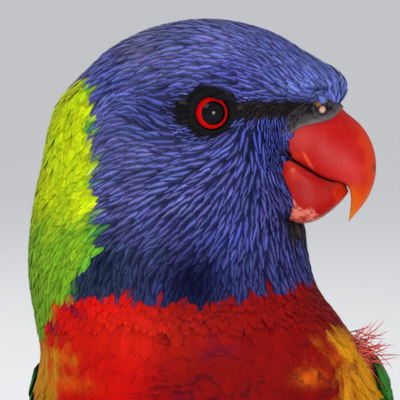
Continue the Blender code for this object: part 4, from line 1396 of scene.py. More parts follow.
class BodyForm:
    """The outer form of head, neck, trunk and thighs, which the plumage's surface follows."""

    SIDES = 120
    HIP = (-15.0, 12.0, 54.0)
    ANKLE = (-30.0, 15.5, 19.5)
    BROW = (18.6, 4.4)
    BROW_REACH = (5.6, 7.2, 5.4)

    def __init__(self) -> None:
        """Lays the fine grids over the body, both thighs and the forehead's tuft."""
        self.form = Form(HEAD_AND_NECK + TRUNK)
        along = np.linspace(self.form.first + 0.05, self.form.last - 0.05, 190)
        self.surface = Surface(np.array([self.form.ring(v, self.SIDES) for v in along]))
        self.thighs = [Surface(self.thigh_rings(side, 0.0, 40, 30)) for side in Side]
        self.brow = Surface(self.brow_rings(0.0, 60, 40))
        halves = ((UPPER_BILL, 1), (LOWER_BILL, -1))
        self.bill = [Surface(np.array(bill_rings(table, keel, 0.4))) for table, keel in halves]

    def brow_rings(self, grow: float, sides: int, count: int) -> np.ndarray:
        """Rings of the round tuft of forehead that stands over the root of the bill."""
        reach = np.array(self.BROW_REACH) + grow
        turn = np.linspace(0, 2 * math.pi, sides, endpoint=False)
        rings = []
        for lean in np.linspace(0.03, math.pi - 0.03, count):
            level = math.sin(lean)
            circle = [reach[0] * level * np.cos(turn), reach[1] * level * np.sin(turn)]
            height = np.full(sides, reach[2] * math.cos(lean))
            rings.append(face_point(*self.BROW) + np.column_stack([*circle, height]))
        return np.array(rings)

    def thigh_rings(self, side: Side, grow: float, sides: int, count: int) -> np.ndarray:
        """Rings of one thigh, from inside the belly down to the ankle."""
        mirror = np.array([1.0, side.value, 1.0])
        hip, ankle = np.array(self.HIP) * mirror, np.array(self.ANKLE) * mirror
        way = unit(ankle - hip)
        aside = unit(np.cross(way, [0.0, 0.0, 1.0]))
        up = np.cross(aside, way)
        turn = np.linspace(0, 2 * math.pi, sides, endpoint=False)
        circle = np.outer(np.cos(turn), aside) + np.outer(np.sin(turn), up)
        rings = []
        for t in np.linspace(0, 1, count):
            radius = 3.3 + 6.6 * (1 - t) ** 1.15 + grow
            rings.append(hip + (ankle - hip) * t + circle * max(radius, 0.3))
        return np.array(rings)

    def spots(self, points: np.ndarray, face: np.ndarray) -> Spots:
        """Places on the body's grid as spots."""
        turn = (face % self.surface.sides + 0.5) * 360.0 / self.surface.sides
        return Spots(points, np.where(turn > 180.0, turn - 360.0, turn))

    def outside(self, points: np.ndarray, margin: float) -> np.ndarray:
        """Which points stand outside the body by more than margin."""
        near, face = self.surface.nearest(points)
        return ((points - near) * self.surface.normals[face]).sum(axis=1) > margin

    @staticmethod
    def is_open(spots: Spots) -> np.ndarray:
        """Where feathers grow: not under the wings, the bill or the eyelids."""
        points, turn = spots.points, np.abs(spots.turn)
        fore, rise = points[:, 1] - EYE_SIDE, spots.rise
        bill = (fore > 11.0) & (np.abs(points[:, 0]) < 6.3) & (rise < 2.6) & (rise > -17.5)
        root = fore + EYE_DEPTH * math.tan(math.radians(EYE_FORWARD))
        lean = math.radians(EYE_FORWARD)
        beside = root * math.cos(lean) - np.abs(points[:, 0]) * math.sin(lean)
        ahead = np.where(beside > 0, 0.84, 1.0)
        eye = np.hypot(beside * ahead, rise) < 4.05
        pocket = np.hypot(fore - POCKET[1], rise - POCKET[2]) < POCKET_RADIUS - 0.4
        pocket &= np.abs(points[:, 0]) > 2.0
        wing = (points[:, 2] < 96.0) & (points[:, 0] > -52.0) & (turn > 96.0) & (turn < 150.0)
        tail = points[:, 0] < -76.0
        return ~(bill | eye | pocket | wing | tail)


class Skin:
    """One skin for head, neck, trunk and thighs, under the plumage by the depth of its roots."""

    VOXEL = 1.0
    SOCKET_SHIFT = 1.6
    SOCKET_RADIUS = 4.9

    def __init__(self, bench: Workbench, markings: Markings, body: BodyForm) -> None:
        """Keeps what the skin is made from.

        Args:
            bench: The modelling tools.
            markings: Where each colour lies.
            body: The form that the skin lies inside.
        """
        self.bench = bench
        self.markings = markings
        self.body = body

    def depth(self, z: float) -> float:
        """How far under the plumage's surface the skin lies at a height."""
        return 0.52 + 0.6 * float(ramp(np.array(z), EYE_HEIGHT - 40.0, EYE_HEIGHT - 62.0))

    def build(self) -> bpy.types.Object:
        """Models the skin and paints it."""
        form = self.body.form
        along = np.linspace(form.first + 0.4, form.last - 0.4, 90)
        rings = [form.ring(v, 56, -self.depth(form.at(v)[0][2])) for v in along]
        parts = [self.bench.ring_loft("trunk_skin", rings)]
        for side in Side:
            rings = self.body.thigh_rings(side, -1.2, 24, 14)
            parts.append(self.bench.ring_loft(f"thigh_skin_{side.word}", rings))
        parts.append(self.bench.ring_loft("brow_skin", self.body.brow_rings(-0.6, 32, 16)))
        skin = self.bench.join("skin", parts)
        self.bench.apply(skin, "REMESH", mode="VOXEL", voxel_size=self.VOXEL * MM, use_smooth_shade=True)
        self.bench.apply(skin, "SMOOTH", factor=0.5, iterations=3)
        for side in (1, -1):
            self.carve(skin, eye_centre(side) + eye_axis(side) * self.SOCKET_SHIFT, self.SOCKET_RADIUS)
            self.carve(skin, face_point(*POCKET[1:], side * POCKET[0]), POCKET_RADIUS)
        self.paint(skin)
        self.bench.smooth_shade(skin)
        nodes = ("head", "neck", "torso", "thigh_left", "thigh_right")
        self.bench.deliver(skin, SkinFinish("plumage_skin").make(), "breast_plumage", *nodes)
        return skin

    def carve(self, skin: bpy.types.Object, centre: np.ndarray, radius: float) -> None:
        """Cuts a round hollow into the skin, for an eye or beside the bill."""
        self.bench.deselect()
        place = tuple(self.bench.metres(centre))
        sizes = {"segments": 48, "ring_count": 24, "radius": radius * MM}
        bpy.ops.mesh.primitive_uv_sphere_add(location=place, **sizes)
        hollow = bpy.context.object
        self.bench.apply(skin, "BOOLEAN", operation="DIFFERENCE", solver="EXACT", object=hollow)
        bpy.data.objects.remove(hollow)

    def paint(self, skin: bpy.types.Object) -> None:
        """Gives the skin the plumage's markings, and blackens it in the gape beside the bill as painted shade."""
        points = self.bench.millimetres(np.array([v.co for v in skin.data.vertices]))
        face = self.body.surface.nearest(points)[1]
        colours = self.markings.paint(self.body.spots(points, face)).ground
        fore, rise = points[:, 1] - EYE_SIDE, points[:, 2] - EYE_HEIGHT
        # Painted shade: the skin in the gape, between the halves of the bill, is blackened
        colours *= 1.0 - (ramp(fore, 12.0, 13.5) * bump(rise, -9.0, 4.5))[:, None]
        layer = skin.data.color_attributes.new("Ground", "FLOAT_COLOR", "POINT")
        layer.data.foreach_set("color", np.column_stack([colours, np.ones(len(colours))]).ravel())



# Wings and tail


@dataclass(frozen=True)
class Quill:
    """One feather on a bed: root and tip as (along, across), its size, and how it lies.

    lift is the height of the vane's underside at root and tip. shaft is where the shaft stands across
    the vane, from -1 to 1. bulge is how much higher than a straight one its middle lies.
    """

    root: tuple[float, float]
    tip: tuple[float, float]
    half_width: float
    lift: tuple[float, float]
    roundness: float
    sweep: float = 0.3
    shaft: float = 0.0
    tone: float = 0.0
    bulge: float = 0.0


WING_BED = [
    Section(3.0, 0.0, 103.0, 4.0, 26.4, 26.4, 31.4, 35.0),
    Section(-3.0, 0.0, 94.5, 12.0, 28.4, 26.0, 31.6, 34.2),
    Section(-11.0, 0.0, 78.0, 28.0, 31.5, 26.5, 32.2, 32.8),
    Section(-24.0, 0.0, 62.0, 38.0, 31.5, 25.2, 31.2, 31.4),
    Section(-39.0, 0.0, 48.5, 46.0, 26.5, 21.6, 27.6, 27.6),
    Section(-56.0, 0.0, 37.5, 58.0, 18.0, 17.0, 22.0, 22.0),
    Section(-78.0, 0.0, 27.0, 67.0, 10.0, 13.0, 17.0, 17.0),
    Section(-100.0, 0.0, 18.0, 70.0, 8.0, 9.5, 13.5, 13.5),
    Section(-126.0, 0.0, 9.5, 73.0, 6.0, 7.0, 10.5, 10.5),
]


class Bed:
    """A curved bed that feathers lie on."""

    def place(self, along: np.ndarray, across: np.ndarray, lift: np.ndarray) -> np.ndarray:
        """Points of the bed, from their way along and across it and their height over it."""
        raise NotImplementedError

    def frame(self, along: np.ndarray, across: np.ndarray) -> tuple[np.ndarray, np.ndarray]:
        """How a point of the bed moves for each mm or degree along and across it."""
        step, level = 1e-3, np.zeros_like(along)
        here = self.place(along, across, level)
        by_along = (self.place(along + step, across, level) - here) / step
        by_across = (self.place(along, across + step, level) - here) / step
        return by_along, by_across

    def lay(self, pattern: VanePattern, quills: Sequence[Quill], thickness: float, facing: int) -> np.ndarray:
        """The points of feathers on the bed.

        Args:
            pattern: The feather that is copied.
            quills: Where each feather lies.
            thickness: Thickness at the shaft.
            facing: 1 where the feathers' upper face looks away from the bed, -1 where it looks in.

        Returns:
            Each feather's points.
        """
        t = pattern.stations[None]
        root = np.array([q.root for q in quills])
        tip = np.array([q.tip for q in quills])
        sweep = np.array([q.sweep for q in quills])[:, None]
        ease = t * t * (3 - 2 * t) * sweep + t * (1 - sweep)
        along = root[:, :1] + (tip - root)[:, :1] * t
        across = root[:, 1:] + (tip - root)[:, 1:] * ease
        by_along, by_across = self.frame(along, across)
        slope = np.gradient(across, axis=1) / np.gradient(along, axis=1)
        heading = by_along + by_across * slope[..., None]
        aside = unit(np.cross(np.cross(by_along, by_across), heading))
        aa, bb = (by_along**2).sum(-1), (by_across**2).sum(-1)
        ab = (by_along * by_across).sum(-1)
        to_a, to_b = (aside * by_along).sum(-1), (aside * by_across).sum(-1)
        det = aa * bb - ab * ab
        d_along, d_across = (to_a * bb - to_b * ab) / det, (to_b * aa - to_a * ab) / det
        k = pattern.station
        shafts = np.array([q.shaft for q in quills])[:, None]
        widths = np.array([q.half_width * vane_width(pattern.stations, q.roundness) for q in quills])
        spread = pattern.across[None] + shafts * (1 - pattern.across[None] ** 2)
        off = spread * widths[:, k] * facing
        lift = np.array([q.lift for q in quills])
        way = pattern.along[None]
        bulge = np.array([q.bulge for q in quills])[:, None]
        base = lift[:, :1] + (lift[:, 1:] - lift[:, :1]) * way**1.5 + 4 * bulge * way * (1 - way)
        height = base + pattern.height[None] * thickness * (1 - 0.6 * way)
        return self.place(along[:, k] + d_along[:, k] * off, across[:, k] + d_across[:, k] * off, height * facing)


class WingBed(Bed):
    """The bed that one folded wing lies on: mm behind the wrist, and degrees from the back's ridge."""

    GAP = 1.05
    RIGHT_DROP = 3.0

    def __init__(self, side: Side) -> None:
        """Lays out the slices that the wing wraps.

        Args:
            side: The wing's side.
        """
        self.side = side
        self.rows = section_rows(WING_BED)
        steps = np.linalg.norm(np.diff(self.rows[:, :3], axis=0), axis=1)
        self.knots = np.concatenate([[0.0], np.cumsum(steps)])

    def place(self, along: np.ndarray, across: np.ndarray, lift: np.ndarray) -> np.ndarray:
        """Points of the bed."""
        along, across, lift = np.broadcast_arrays(along, across, lift)
        along = along + (self.RIGHT_DROP if self.side is Side.RIGHT else 0.0)
        rows = hermite(self.knots, self.rows, along.ravel()).reshape(*along.shape, -1)
        tip, turn = np.radians(rows[..., 3]), np.radians(across)
        backward = np.stack([-np.cos(tip), np.zeros_like(tip), np.sin(tip)], axis=-1)
        depth = np.where(np.cos(turn) >= 0, rows[..., 5], rows[..., 4]) + self.GAP + lift
        width = rows[..., 6 if self.side is Side.LEFT else 7] + self.GAP + lift
        sideways = np.array([0.0, self.side.value, 0.0])
        point = rows[..., :3] + backward * (depth * np.cos(turn))[..., None]
        return point + sideways * (width * np.sin(turn))[..., None]


class TailBed(Bed):
    """The bed of the tail, which sweeps down from the rump and runs out level on the floor."""

    LENGTH = 124.0
    ROOT = (-56.0, 33.5)
    REST = 1.0

    def place(self, along: np.ndarray, across: np.ndarray, lift: np.ndarray) -> np.ndarray:
        """Points of the bed, from mm behind its root and mm to the left."""
        along, across, lift = np.broadcast_arrays(along, across, lift)
        share = np.clip(along / self.LENGTH, -0.2, 1.0)
        drop = (1 - share) ** 1.55
        sag = 0.012 * across * across * (1 - share)
        height = self.REST + (self.ROOT[1] - self.REST) * drop + lift - sag
        return np.stack([self.ROOT[0] - along * 0.975, across, np.maximum(height, 0.02)], axis=-1)


FLIGHT_VANE = (
    (0.0, 0.08, 0.16, 0.26, 0.36, 0.46, 0.56, 0.66, 0.75, 0.83, 0.89, 0.94, 0.98, 1.0),
    ((-1, 0.1), (-0.55, 0.42), (-0.07, 0.55), (0, 1), (0.07, 0.55), (0.55, 0.42), (1, 0.1), (0, 0)),
)
COVERT_VANE = (
    (0.0, 0.25, 0.45, 0.65, 0.8, 0.9, 0.97, 1.0),
    ((-1, 0.05), (-0.55, 0.6), (0, 1), (0.55, 0.6), (1, 0.05), (0, 0)),
)


def plain_paint(grounds: np.ndarray, streaks: np.ndarray, strength: float, bar: float = 0.0) -> Paint:
    """A Paint of given colours, with one strength of streak and of bar."""
    paint = Paint(len(grounds))
    paint.ground, paint.streak = grounds.copy(), streaks.copy()
    paint.strength[:], paint.bar[:] = strength, bar
    return paint


def strip_places(count: int, top: float) -> tuple[np.ndarray, tuple[float, float]]:
    """A place of its own on the bake map for each of some long feathers, and its size."""
    return np.array([[(i + 0.5) / count, top] for i in range(count)]), (0.9 / count, 0.3)


@dataclass
class Wing:
    """One folded wing: a solid shoulder under coverts, and flight feathers in tiers."""

    bench: Workbench
    side: Side
    flight: VanePattern
    covert: VanePattern
    shoulder_start: float = 4.0
    shoulder_length: float = 42.0
    length: float = 150.0
    primaries: int = 10
    secondaries: int = 11
    tertials: int = 3

    def __post_init__(self) -> None:
        """Lays the wing's bed and seeds its variation."""
        self.bed = WingBed(self.side)
        self.rng = np.random.default_rng(SEED + self.side.value)

    def flight_quills(self) -> list[Quill]:
        """Primaries, secondaries and tertials, outermost and lowest first."""
        quills = []
        for i in range(self.primaries):
            j = i * 5.2 / (self.primaries - 1)
            short = 5.0 if i == 0 else 2.2 * max(j - 0.55, 0.0) ** 1.85
            root, tip = (38.0 - 0.6 * j, 97.0 - 3.6 * j), (self.length - short, 46.0 - 3.9 * j)
            quills.append(Quill(root, tip, 5.9, (0.13 * i, 0.13 * i), 0.3, 0.5, 0.45, 1.0))
        for i in range(self.secondaries):
            share = i / (self.secondaries - 1)
            root, tip = (40.0 - 4.0 * share, 88.0 - 56.0 * share), (103.0 - 8.0 * share, 60.0 - 43.0 * share)
            lift = 1.35 + 0.12 * i * 0.6
            quills.append(Quill(root, tip, 6.2, (lift, lift), 0.75, 0.3, 0.3, 0.5))
        for i in range(self.tertials):
            root, tip = (26.0, 28.0 - 4.0 * i), (90.0 - 9.0 * i, 17.0 - 3.0 * i)
            lift = 2.2 + 0.18 * i
            quills.append(Quill(root, tip, 6.2, (lift, lift), 0.85, 0.3, 0.1, 0.0))
        return quills

    def covert_quills(self) -> list[Quill]:
        """Greater and median coverts, and the rows of small ones that climb to the wrist."""
        quills = []
        for i in range(13):
            share = i / 12
            root, tip = (28.0 - 3.0 * share, 101.0 - 70.0 * share), (65.0 - 6.0 * share, 90.0 - 68.0 * share)
            quills.append(Quill(root, tip, 5.0, (1.6, 2.2 + 0.03 * i), 0.85, 0.3, 0.2, 0.3))
        for i in range(14):
            share = i / 13
            root, tip = (19.0, 104.0 - 72.0 * share), (45.0 - 3.0 * share, 97.0 - 70.0 * share)
            quills.append(Quill(root, tip, 4.6, (1.9, 2.75 + 0.02 * i), 0.9, 0.3, 0.1, 0.15))
        rows = 11
        for row in range(rows):
            share = row / (rows - 1)
            start = self.shoulder_start - 1.0 + 26.0 * (1 - share)
            low, high = self.edges(start)
            count = 15 + row
            for i in range(count + 1):
                across = low + (high - low) * (i + 0.5 * (row % 2)) / count
                if across > high:
                    continue
                along = start + self.rng.normal(0.0, 0.35)
                reach = 12.0 - 5.5 * share + self.rng.normal(0.0, 0.4)
                drift = self.rng.normal(-1.0, 1.2)
                root, tip = (along, across), (along + reach, across + drift)
                ends = (self.height(*root) - 0.75, self.height(*tip) + 0.4 + self.rng.normal(0.0, 0.07))
                middle = self.height(along + reach / 2, across + drift / 2) - 0.1
                bulge = max(middle - ends[0] - 0.354 * (ends[1] - ends[0]), 0.0)
                quills.append(Quill(root, tip, 3.5 - 1.3 * share, ends, 0.95, bulge=bulge))
        return quills

    def edges(self, along: float) -> tuple[float, float]:
        """The shoulder's lower and upper limits in degrees from the back's ridge."""
        share = float(np.clip((along - self.shoulder_start) / self.shoulder_length, 0.0, 1.0))
        low = 20.0 + 42.0 * (1 - share) ** 3
        return low, 111.0 - 16.0 * share - 24.0 * (1 - share) ** 4

    def height(self, along: float, across: float) -> float:
        """How far the shoulder stands over its bed."""
        share = (along - self.shoulder_start) / self.shoulder_length
        low, high = self.edges(along)
        thick = 0.5 + 2.5 * math.sin(math.pi * min(max(0.08 + share, 0.0), 1.0)) ** 0.7
        way = min(max((across - low) / (high - low), 0.0), 1.0)
        return 0.2 + (thick - 0.3) * math.sin(math.pi * way) ** 0.5

    def shoulder(self) -> bpy.types.Object:
        """Models the shoulder: slices from the wrist back, each a shallow arch on the bed."""
        rings = []
        way = np.linspace(0.0, 1.0, 19)
        for share in np.linspace(0.0, 1.0, 22):
            along = self.shoulder_start + self.shoulder_length * share
            low, high = self.edges(along)
            turns = low + (high - low) * way
            tops = np.array([max(self.height(along, turn) - 0.55, 0.1) for turn in turns])
            top = self.bed.place(np.full(19, along), turns, tops)
            bottom = self.bed.place(np.full(19, along), turns[::-1], np.full(19, -0.1))
            rings.append(np.vstack([top, bottom]))
        return self.bench.ring_loft(f"wing_shoulder_{self.side.word}", rings)

    def flight_paint(self, quills: Sequence[Quill]) -> Paint:
        """Green flight feathers, bluer and darker towards the outermost primary."""
        tone = np.array([q.tone for q in quills])[:, None]
        ground = srgb(34, 104, 22) * (1 - tone) + srgb(20, 66, 30) * tone
        streak = srgb(26, 60, 20) * np.ones_like(ground)
        shade = np.exp(self.rng.normal(0.0, 0.1, (len(quills), 1)))
        return plain_paint(ground * shade, streak, 0.5, 0.25)

    def covert_paint(self, quills: Sequence[Quill]) -> Paint:
        """Leaf green coverts, some with a lighter shaft."""
        shade = np.exp(self.rng.normal(0.0, 0.16, (len(quills), 1)))
        ground = srgb(36, 116, 24) * shade
        streak = srgb(70, 150, 40) * shade
        return plain_paint(ground, streak, 0.35)

    def build(self, look: bpy.types.Material, skin: bpy.types.Material) -> None:
        """Builds the shoulder, the coverts and the flight feathers."""
        word = self.side.word
        facing = self.side.value
        shoulder = self.shoulder()
        paint_evenly(shoulder, srgb(22, 70, 16))
        self.bench.smooth_shade(shoulder, 50.0)
        self.bench.deliver(shoulder, skin, "wing_plumage")
        quills = self.flight_quills()
        points = self.bed.lay(self.flight, quills, 0.42, 1)
        place, patch = strip_places(len(quills), 0.75)
        vanes = Vanes(self.flight, points, self.flight_paint(quills), place, patch)
        flight = vanes_mesh(self.bench, f"flight_feathers_{word}", [vanes], flip=facing < 0)
        self.bench.deliver(flight, look, "wing_plumage", f"wing_{word}")
        quills = self.covert_quills()
        points = self.bed.lay(self.covert, quills, 0.3, 1)
        place = np.array([[q.root[1] / 120.0, 1.0 - q.root[0] / 60.0] for q in quills])
        vanes = Vanes(self.covert, points, self.covert_paint(quills), place, (0.02, 0.03))
        coverts = vanes_mesh(self.bench, f"wing_coverts_{word}", [vanes], flip=facing < 0)
        self.bench.deliver(coverts, look, "wing_plumage")


@dataclass
class Tail:
    """Six pairs of pointed tail feathers under and over their coverts."""

    bench: Workbench
    flight: VanePattern
    covert: VanePattern
    pairs: int = 6

    def __post_init__(self) -> None:
        """Lays the bed."""
        self.bed = TailBed()
        self.rng = np.random.default_rng(SEED + 5)

    def feathers(self) -> list[Quill]:
        """The tail feathers, the middle pair on top."""
        quills = []
        for pair in range(self.pairs):
            length = self.bed.LENGTH * (1 - 0.012 * pair - 0.0125 * pair**2)
            for side in (1, -1):
                root = (4.0, side * (1.6 + 0.9 * pair))
                tip = (length, side * (1.8 + 1.3 * pair))
                lift = -0.62 * pair - (0.0 if side > 0 else 0.3)
                if pair == 0:
                    lift = 0.32 if side > 0 else 0.0
                half_width = 6.6 - 0.25 * pair
                shaft = -0.35 * side if pair else 0.0
                quills.append(Quill(root, tip, half_width, (lift, lift), 0.15, 0.0, shaft, pair / 5))
        return quills

    def coverts(self, over: bool) -> list[Quill]:
        """The coverts over or under the tail's root, in rows that lengthen towards the tip."""
        quills = []
        rows = ((16.0, 30.0, 5), (6.0, 28.0, 7), (-4.0, 26.0, 8), (-13.0, 24.0, 9))
        for number, (start, reach, count) in enumerate(rows):
            for i in range(count):
                share = (i + 0.5) / count * 2 - 1
                across = share * (8.5 - 0.3 * number)
                jitter = self.rng.normal(0.0, 0.8)
                if over:
                    lift = (0.5 + 0.5 * number, 1.2 + 0.35 * number)
                else:
                    lift = (3.6 + 0.5 * number, 4.6 + 0.35 * number - 0.1 * abs(across))
                root, tip = (start + jitter, across * 0.8), (start + reach + jitter, across)
                quills.append(Quill(root, tip, 4.2, lift, 0.7, 0.0, 0.0, 0.2))
        return quills

    def build(self, look: bpy.types.Material) -> None:
        """Builds the tail feathers and the coverts."""
        quills = self.feathers()
        tone = np.array([q.tone for q in quills])[:, None]
        ground = srgb(32, 104, 24) * (1 - tone) + srgb(104, 140, 24) * tone
        shade = np.exp(self.rng.normal(0.0, 0.08, (len(quills), 1)))
        paint = plain_paint(ground * shade, srgb(24, 58, 22) * np.ones_like(ground), 0.55, 0.2)
        place, patch = strip_places(len(quills), 0.75)
        points = self.bed.lay(self.flight, quills, 0.4, 1)
        vanes = Vanes(self.flight, points, paint, place, patch)
        tail = vanes_mesh(self.bench, "tail_feathers", [vanes])
        self.bench.deliver(tail, look, "tail_plumage", "tail")
        for over in (True, False):
            quills = self.coverts(over)
            shade = np.exp(self.rng.normal(0.0, 0.12, (len(quills), 1)))
            base = srgb(34, 112, 26) if over else srgb(150, 156, 22)
            light = srgb(66, 148, 42) if over else srgb(196, 190, 44)
            paint = plain_paint(base * shade, light * shade, 0.4)
            place, patch = strip_places(len(quills), 0.3)
            points = self.bed.lay(self.covert, quills, 0.3, 1 if over else -1)
            vanes = Vanes(self.covert, points, paint, place, patch)
            name = "tail_coverts_above" if over else "tail_coverts_below"
            coverts = vanes_mesh(self.bench, name, [vanes])
            self.bench.deliver(coverts, look, "tail_plumage")


def paint_evenly(obj: bpy.types.Object, colour: np.ndarray) -> None:
    """Gives every point of a mesh one ground colour."""
    layer = obj.data.color_attributes.new("Ground", "FLOAT_COLOR", "POINT")
    layer.data.foreach_set("color", np.tile([*colour, 1.0], len(obj.data.vertices)))


# Bill and cere

CULMEN_RADIUS = 12.6
CULMEN_CENTRE = (19.0, -10.6)


def culmen(degrees: float) -> tuple[float, float]:
    """A point of the bill's ridge, by its angle round the ridge's own circle."""
    turn = math.radians(degrees)
    return (
        CULMEN_CENTRE[0] + CULMEN_RADIUS * math.cos(turn),
        CULMEN_CENTRE[1] + CULMEN_RADIUS * math.sin(turn),
    )


# Each slice of a half of the bill: its top and bottom in the head's middle plane, and half width
UPPER_BILL = (
    ((11.4, 3.0), (11.6, -7.5), 5.4),
    ((15.0, 3.2), (14.3, -8.5), 6.7),
    ((18.4, 3.8), (16.7, -10.0), 7.0),
    ((21.4, 3.9), (18.9, -11.4), 6.9),
    ((24.0, 3.2), (20.8, -12.6), 6.6),
    (culmen(66.0), (22.4, -13.25), 6.2),
    (culmen(47.0), (23.8, -13.55), 5.9),
    (culmen(27.0), (25.2, -13.95), 5.4),
    (culmen(8.0), (26.1, -14.6), 4.7),
    (culmen(-10.0), (26.6, -16.0), 3.8),
    (culmen(-26.0), (26.6, -17.6), 2.8),
    (culmen(-40.0), (26.4, -19.2), 1.8),
    (culmen(-50.0), (26.2, -20.4), 0.9),
    ((26.0, -21.7), (25.95, -21.75), 0.12),
)
LOWER_BILL = (
    ((11.4, -7.8), (11.2, -20.4), 6.0),
    ((14.2, -8.7), (14.2, -21.8), 6.8),
    ((16.6, -10.15), (17.0, -22.1), 6.7),
    ((18.8, -11.52), (19.7, -21.5), 6.2),
    ((20.8, -12.72), (22.0, -20.0), 5.4),
    ((22.6, -13.38), (24.0, -18.3), 4.6),
    ((24.2, -13.7), (25.3, -16.8), 3.3),
    ((25.4, -14.15), (26.0, -15.8), 1.5),
)

# The line in the middle plane where the cere ends over the horn of the bill
CERE_EDGE = (
    (28.0, 2.4),
    (25.3, 1.2),
    (24.2, -0.4),
    (22.9, -1.4),
    (21.1, -2.1),
    (19.2, -2.4),
    (17.4, -2.9),
    (16.2, -3.6),
    (15.0, -4.5),
    (12.0, -5.4),
    (9.5, -5.6),
)

# Half of a bill slice, from its flat side to its ridge, as (share of half width, share of height)
BILL_PROFILE = (
    (0.0, 0.0),
    (0.62, 0.0),
    (0.93, 0.04),
    (1.0, 0.2),
    (0.96, 0.45),
    (0.82, 0.68),
    (0.52, 0.88),
    (0.0, 1.0),
)
LOWER_PROFILE = (
    (0.0, 0.0),
    (0.62, 0.0),
    (0.93, 0.04),
    (1.0, 0.2),
    (1.0, 0.5),
    (0.95, 0.79),
    (0.72, 0.95),
    (0.0, 1.0),
)


def face_point(fore: float, rise: float, aside: float = 0.0) -> np.ndarray:
    """A point of the head from its place ahead of the eye, over the eye, and to the head's right."""
    return np.array([aside, EYE_SIDE + fore, EYE_HEIGHT + rise])


@dataclass(frozen=True)
class HornFinish:
    """Satin horn, coloured by the piece's own attribute, with growth lines and fine scratches."""

    name: str
    roughness: float = 0.4
    line_scale: float = 900.0
    coat: float = 0.03
    light: tuple[int, int, int] = (186, 70, 64)
    worn: tuple[int, int, int] = (120, 12, 12)

    def make(self) -> bpy.types.Material:
        """Builds the material."""
        sheet = Sheet(self.name)
        ground = sheet.attribute("Ground")
        sheet.add("TexCoord")
        coordinates = sheet.tree.nodes["Texture Coordinate"].outputs["Object"]
        turned = sheet.add("Mapping", coordinates, None, (0.5, 0.0, 0.0), (0.25, 1.0, 1.0))
        growth = sheet.add("TexNoise", turned, None, self.line_scale, 4.0, 0.62, 2.0)
        blotch = sheet.add("TexNoise", coordinates, None, 260.0, 3.0, 0.55)
        light = sheet.maths("MULTIPLY", sheet.step(blotch, 0.45, 0.75), 0.12)
        colour = sheet.mix(light, ground.outputs["Color"], srgb(*self.light))
        share = sheet.maths("MULTIPLY", sheet.step(growth, 0.5, 0.85), 0.3)
        worn = sheet.mix(share, colour, srgb(*self.worn))
        sheet.link(worn, "Base Color")
        rough = sheet.maths("MULTIPLY_ADD", growth, 0.25, self.roughness - 0.1)
        sheet.link(rough, "Roughness")
        sheet.relief(growth, 0.35, 0.00012)
        sheet.set(coat_weight=self.coat, coat_roughness=0.3, specular_ior_level=0.05)
        return sheet.material


@dataclass(frozen=True)
class BareSkinFinish:
    """Bare wrinkled skin: cere, lids and legs."""

    name: str
    wrinkle: float = 1500.0
    depth: float = 0.0002
    roughness: float = 0.5
    light: tuple[int, int, int] = (110, 100, 100)
    share: float = 0.25
    specular: float = 0.14

    def make(self) -> bpy.types.Material:
        """Builds the material."""
        sheet = Sheet(self.name)
        ground = sheet.attribute("Ground")
        sheet.add("TexCoord")
        coordinates = sheet.tree.nodes["Texture Coordinate"].outputs["Object"]
        cells = sheet.add("TexVoronoi", coordinates, None, self.wrinkle)
        grain = sheet.add("TexNoise", coordinates, None, self.wrinkle * 0.6, 4.0, 0.6)
        height = sheet.maths("MULTIPLY_ADD", cells, 0.6, grain)
        share = sheet.maths("MULTIPLY", sheet.step(height, 0.55, 1.05), self.share)
        sheet.link(sheet.mix(share, ground.outputs["Color"], srgb(*self.light)), "Base Color")
        sheet.relief(height, 0.6, self.depth)
        sheet.set(roughness=self.roughness, specular_ior_level=self.specular)
        return sheet.material


def paint_points(bench: Workbench, obj: bpy.types.Object, rule: Callable[[np.ndarray], np.ndarray]) -> None:
    """Colours each point of a mesh by its place.

    Args:
        bench: The modelling tools.
        obj: The mesh object.
        rule: Gives linear colours for points in millimetres.
    """
    points = bench.millimetres(np.array([v.co for v in obj.data.vertices]))
    colours = rule(points)
    layer = obj.data.color_attributes.new("Ground", "FLOAT_COLOR", "POINT")
    layer.data.foreach_set("color", np.column_stack([colours, np.ones(len(colours))]).ravel())


def picture_place(points: np.ndarray) -> tuple[np.ndarray, np.ndarray]:
    """The column and row of the picture for points of the head."""
    px = EYE_PIXEL[0] + (points[:, 1] - EYE_SIDE) / PIXEL
    return px, EYE_PIXEL[1] - (points[:, 2] - EYE_HEIGHT) / PIXEL


def blend(first: np.ndarray, second: np.ndarray, share: np.ndarray) -> np.ndarray:
    """A mix of two sets of colours by share."""
    return first * (1 - share[:, None]) + second * share[:, None]


BILL_SLICES = 44
BILL_HALF_POINTS = 15


def bill_rings(table: Sequence[tuple], keel: int, swell: float = 0.0) -> list[np.ndarray]:
    """Rings over a table of bill slices.

    Args:
        table: The slices.
        keel: 1 with the ridge at the top, -1 the other way.
        swell: How far the rings stand outside the table's.

    Returns:
        The rings' points.
    """
    rows = np.array([[*top, *bottom, width] for top, bottom, width in table])
    steps = np.linalg.norm(np.diff(rows, axis=0), axis=1)
    knots = np.concatenate([[0.0], np.cumsum(steps)])
    rows = hermite(knots, rows, np.linspace(0.0, knots[-1], BILL_SLICES))
    for _ in range(5):
        rows[1:-1] = 0.25 * rows[:-2] + 0.5 * rows[1:-1] + 0.25 * rows[2:]
    half = np.array(BILL_PROFILE if keel > 0 else LOWER_PROFILE)
    half_knots = np.linspace(0.0, 1.0, len(half))
    half = hermite(half_knots, half, np.linspace(0.0, 1.0, BILL_HALF_POINTS))
    half[:, 0] = np.clip(half[:, 0], 0.0, 1.0)
    profile = np.vstack([half, half[-2:0:-1] * (-1, 1)])
    rings = []
    for *ends, width in rows:
        top, bottom = np.array(ends[:2]), np.array(ends[2:])
        ridge, flat = (top, bottom) if keel > 0 else (bottom, top)
        way = unit(ridge - flat) * swell
        ridge, flat = ridge + way, flat - way
        middle = flat + np.outer(profile[:, 1], ridge - flat)
        aside = (width + swell) * profile[:, 0]
        rings.append(np.array([face_point(*place, x) for place, x in zip(middle, aside)]))
    return rings


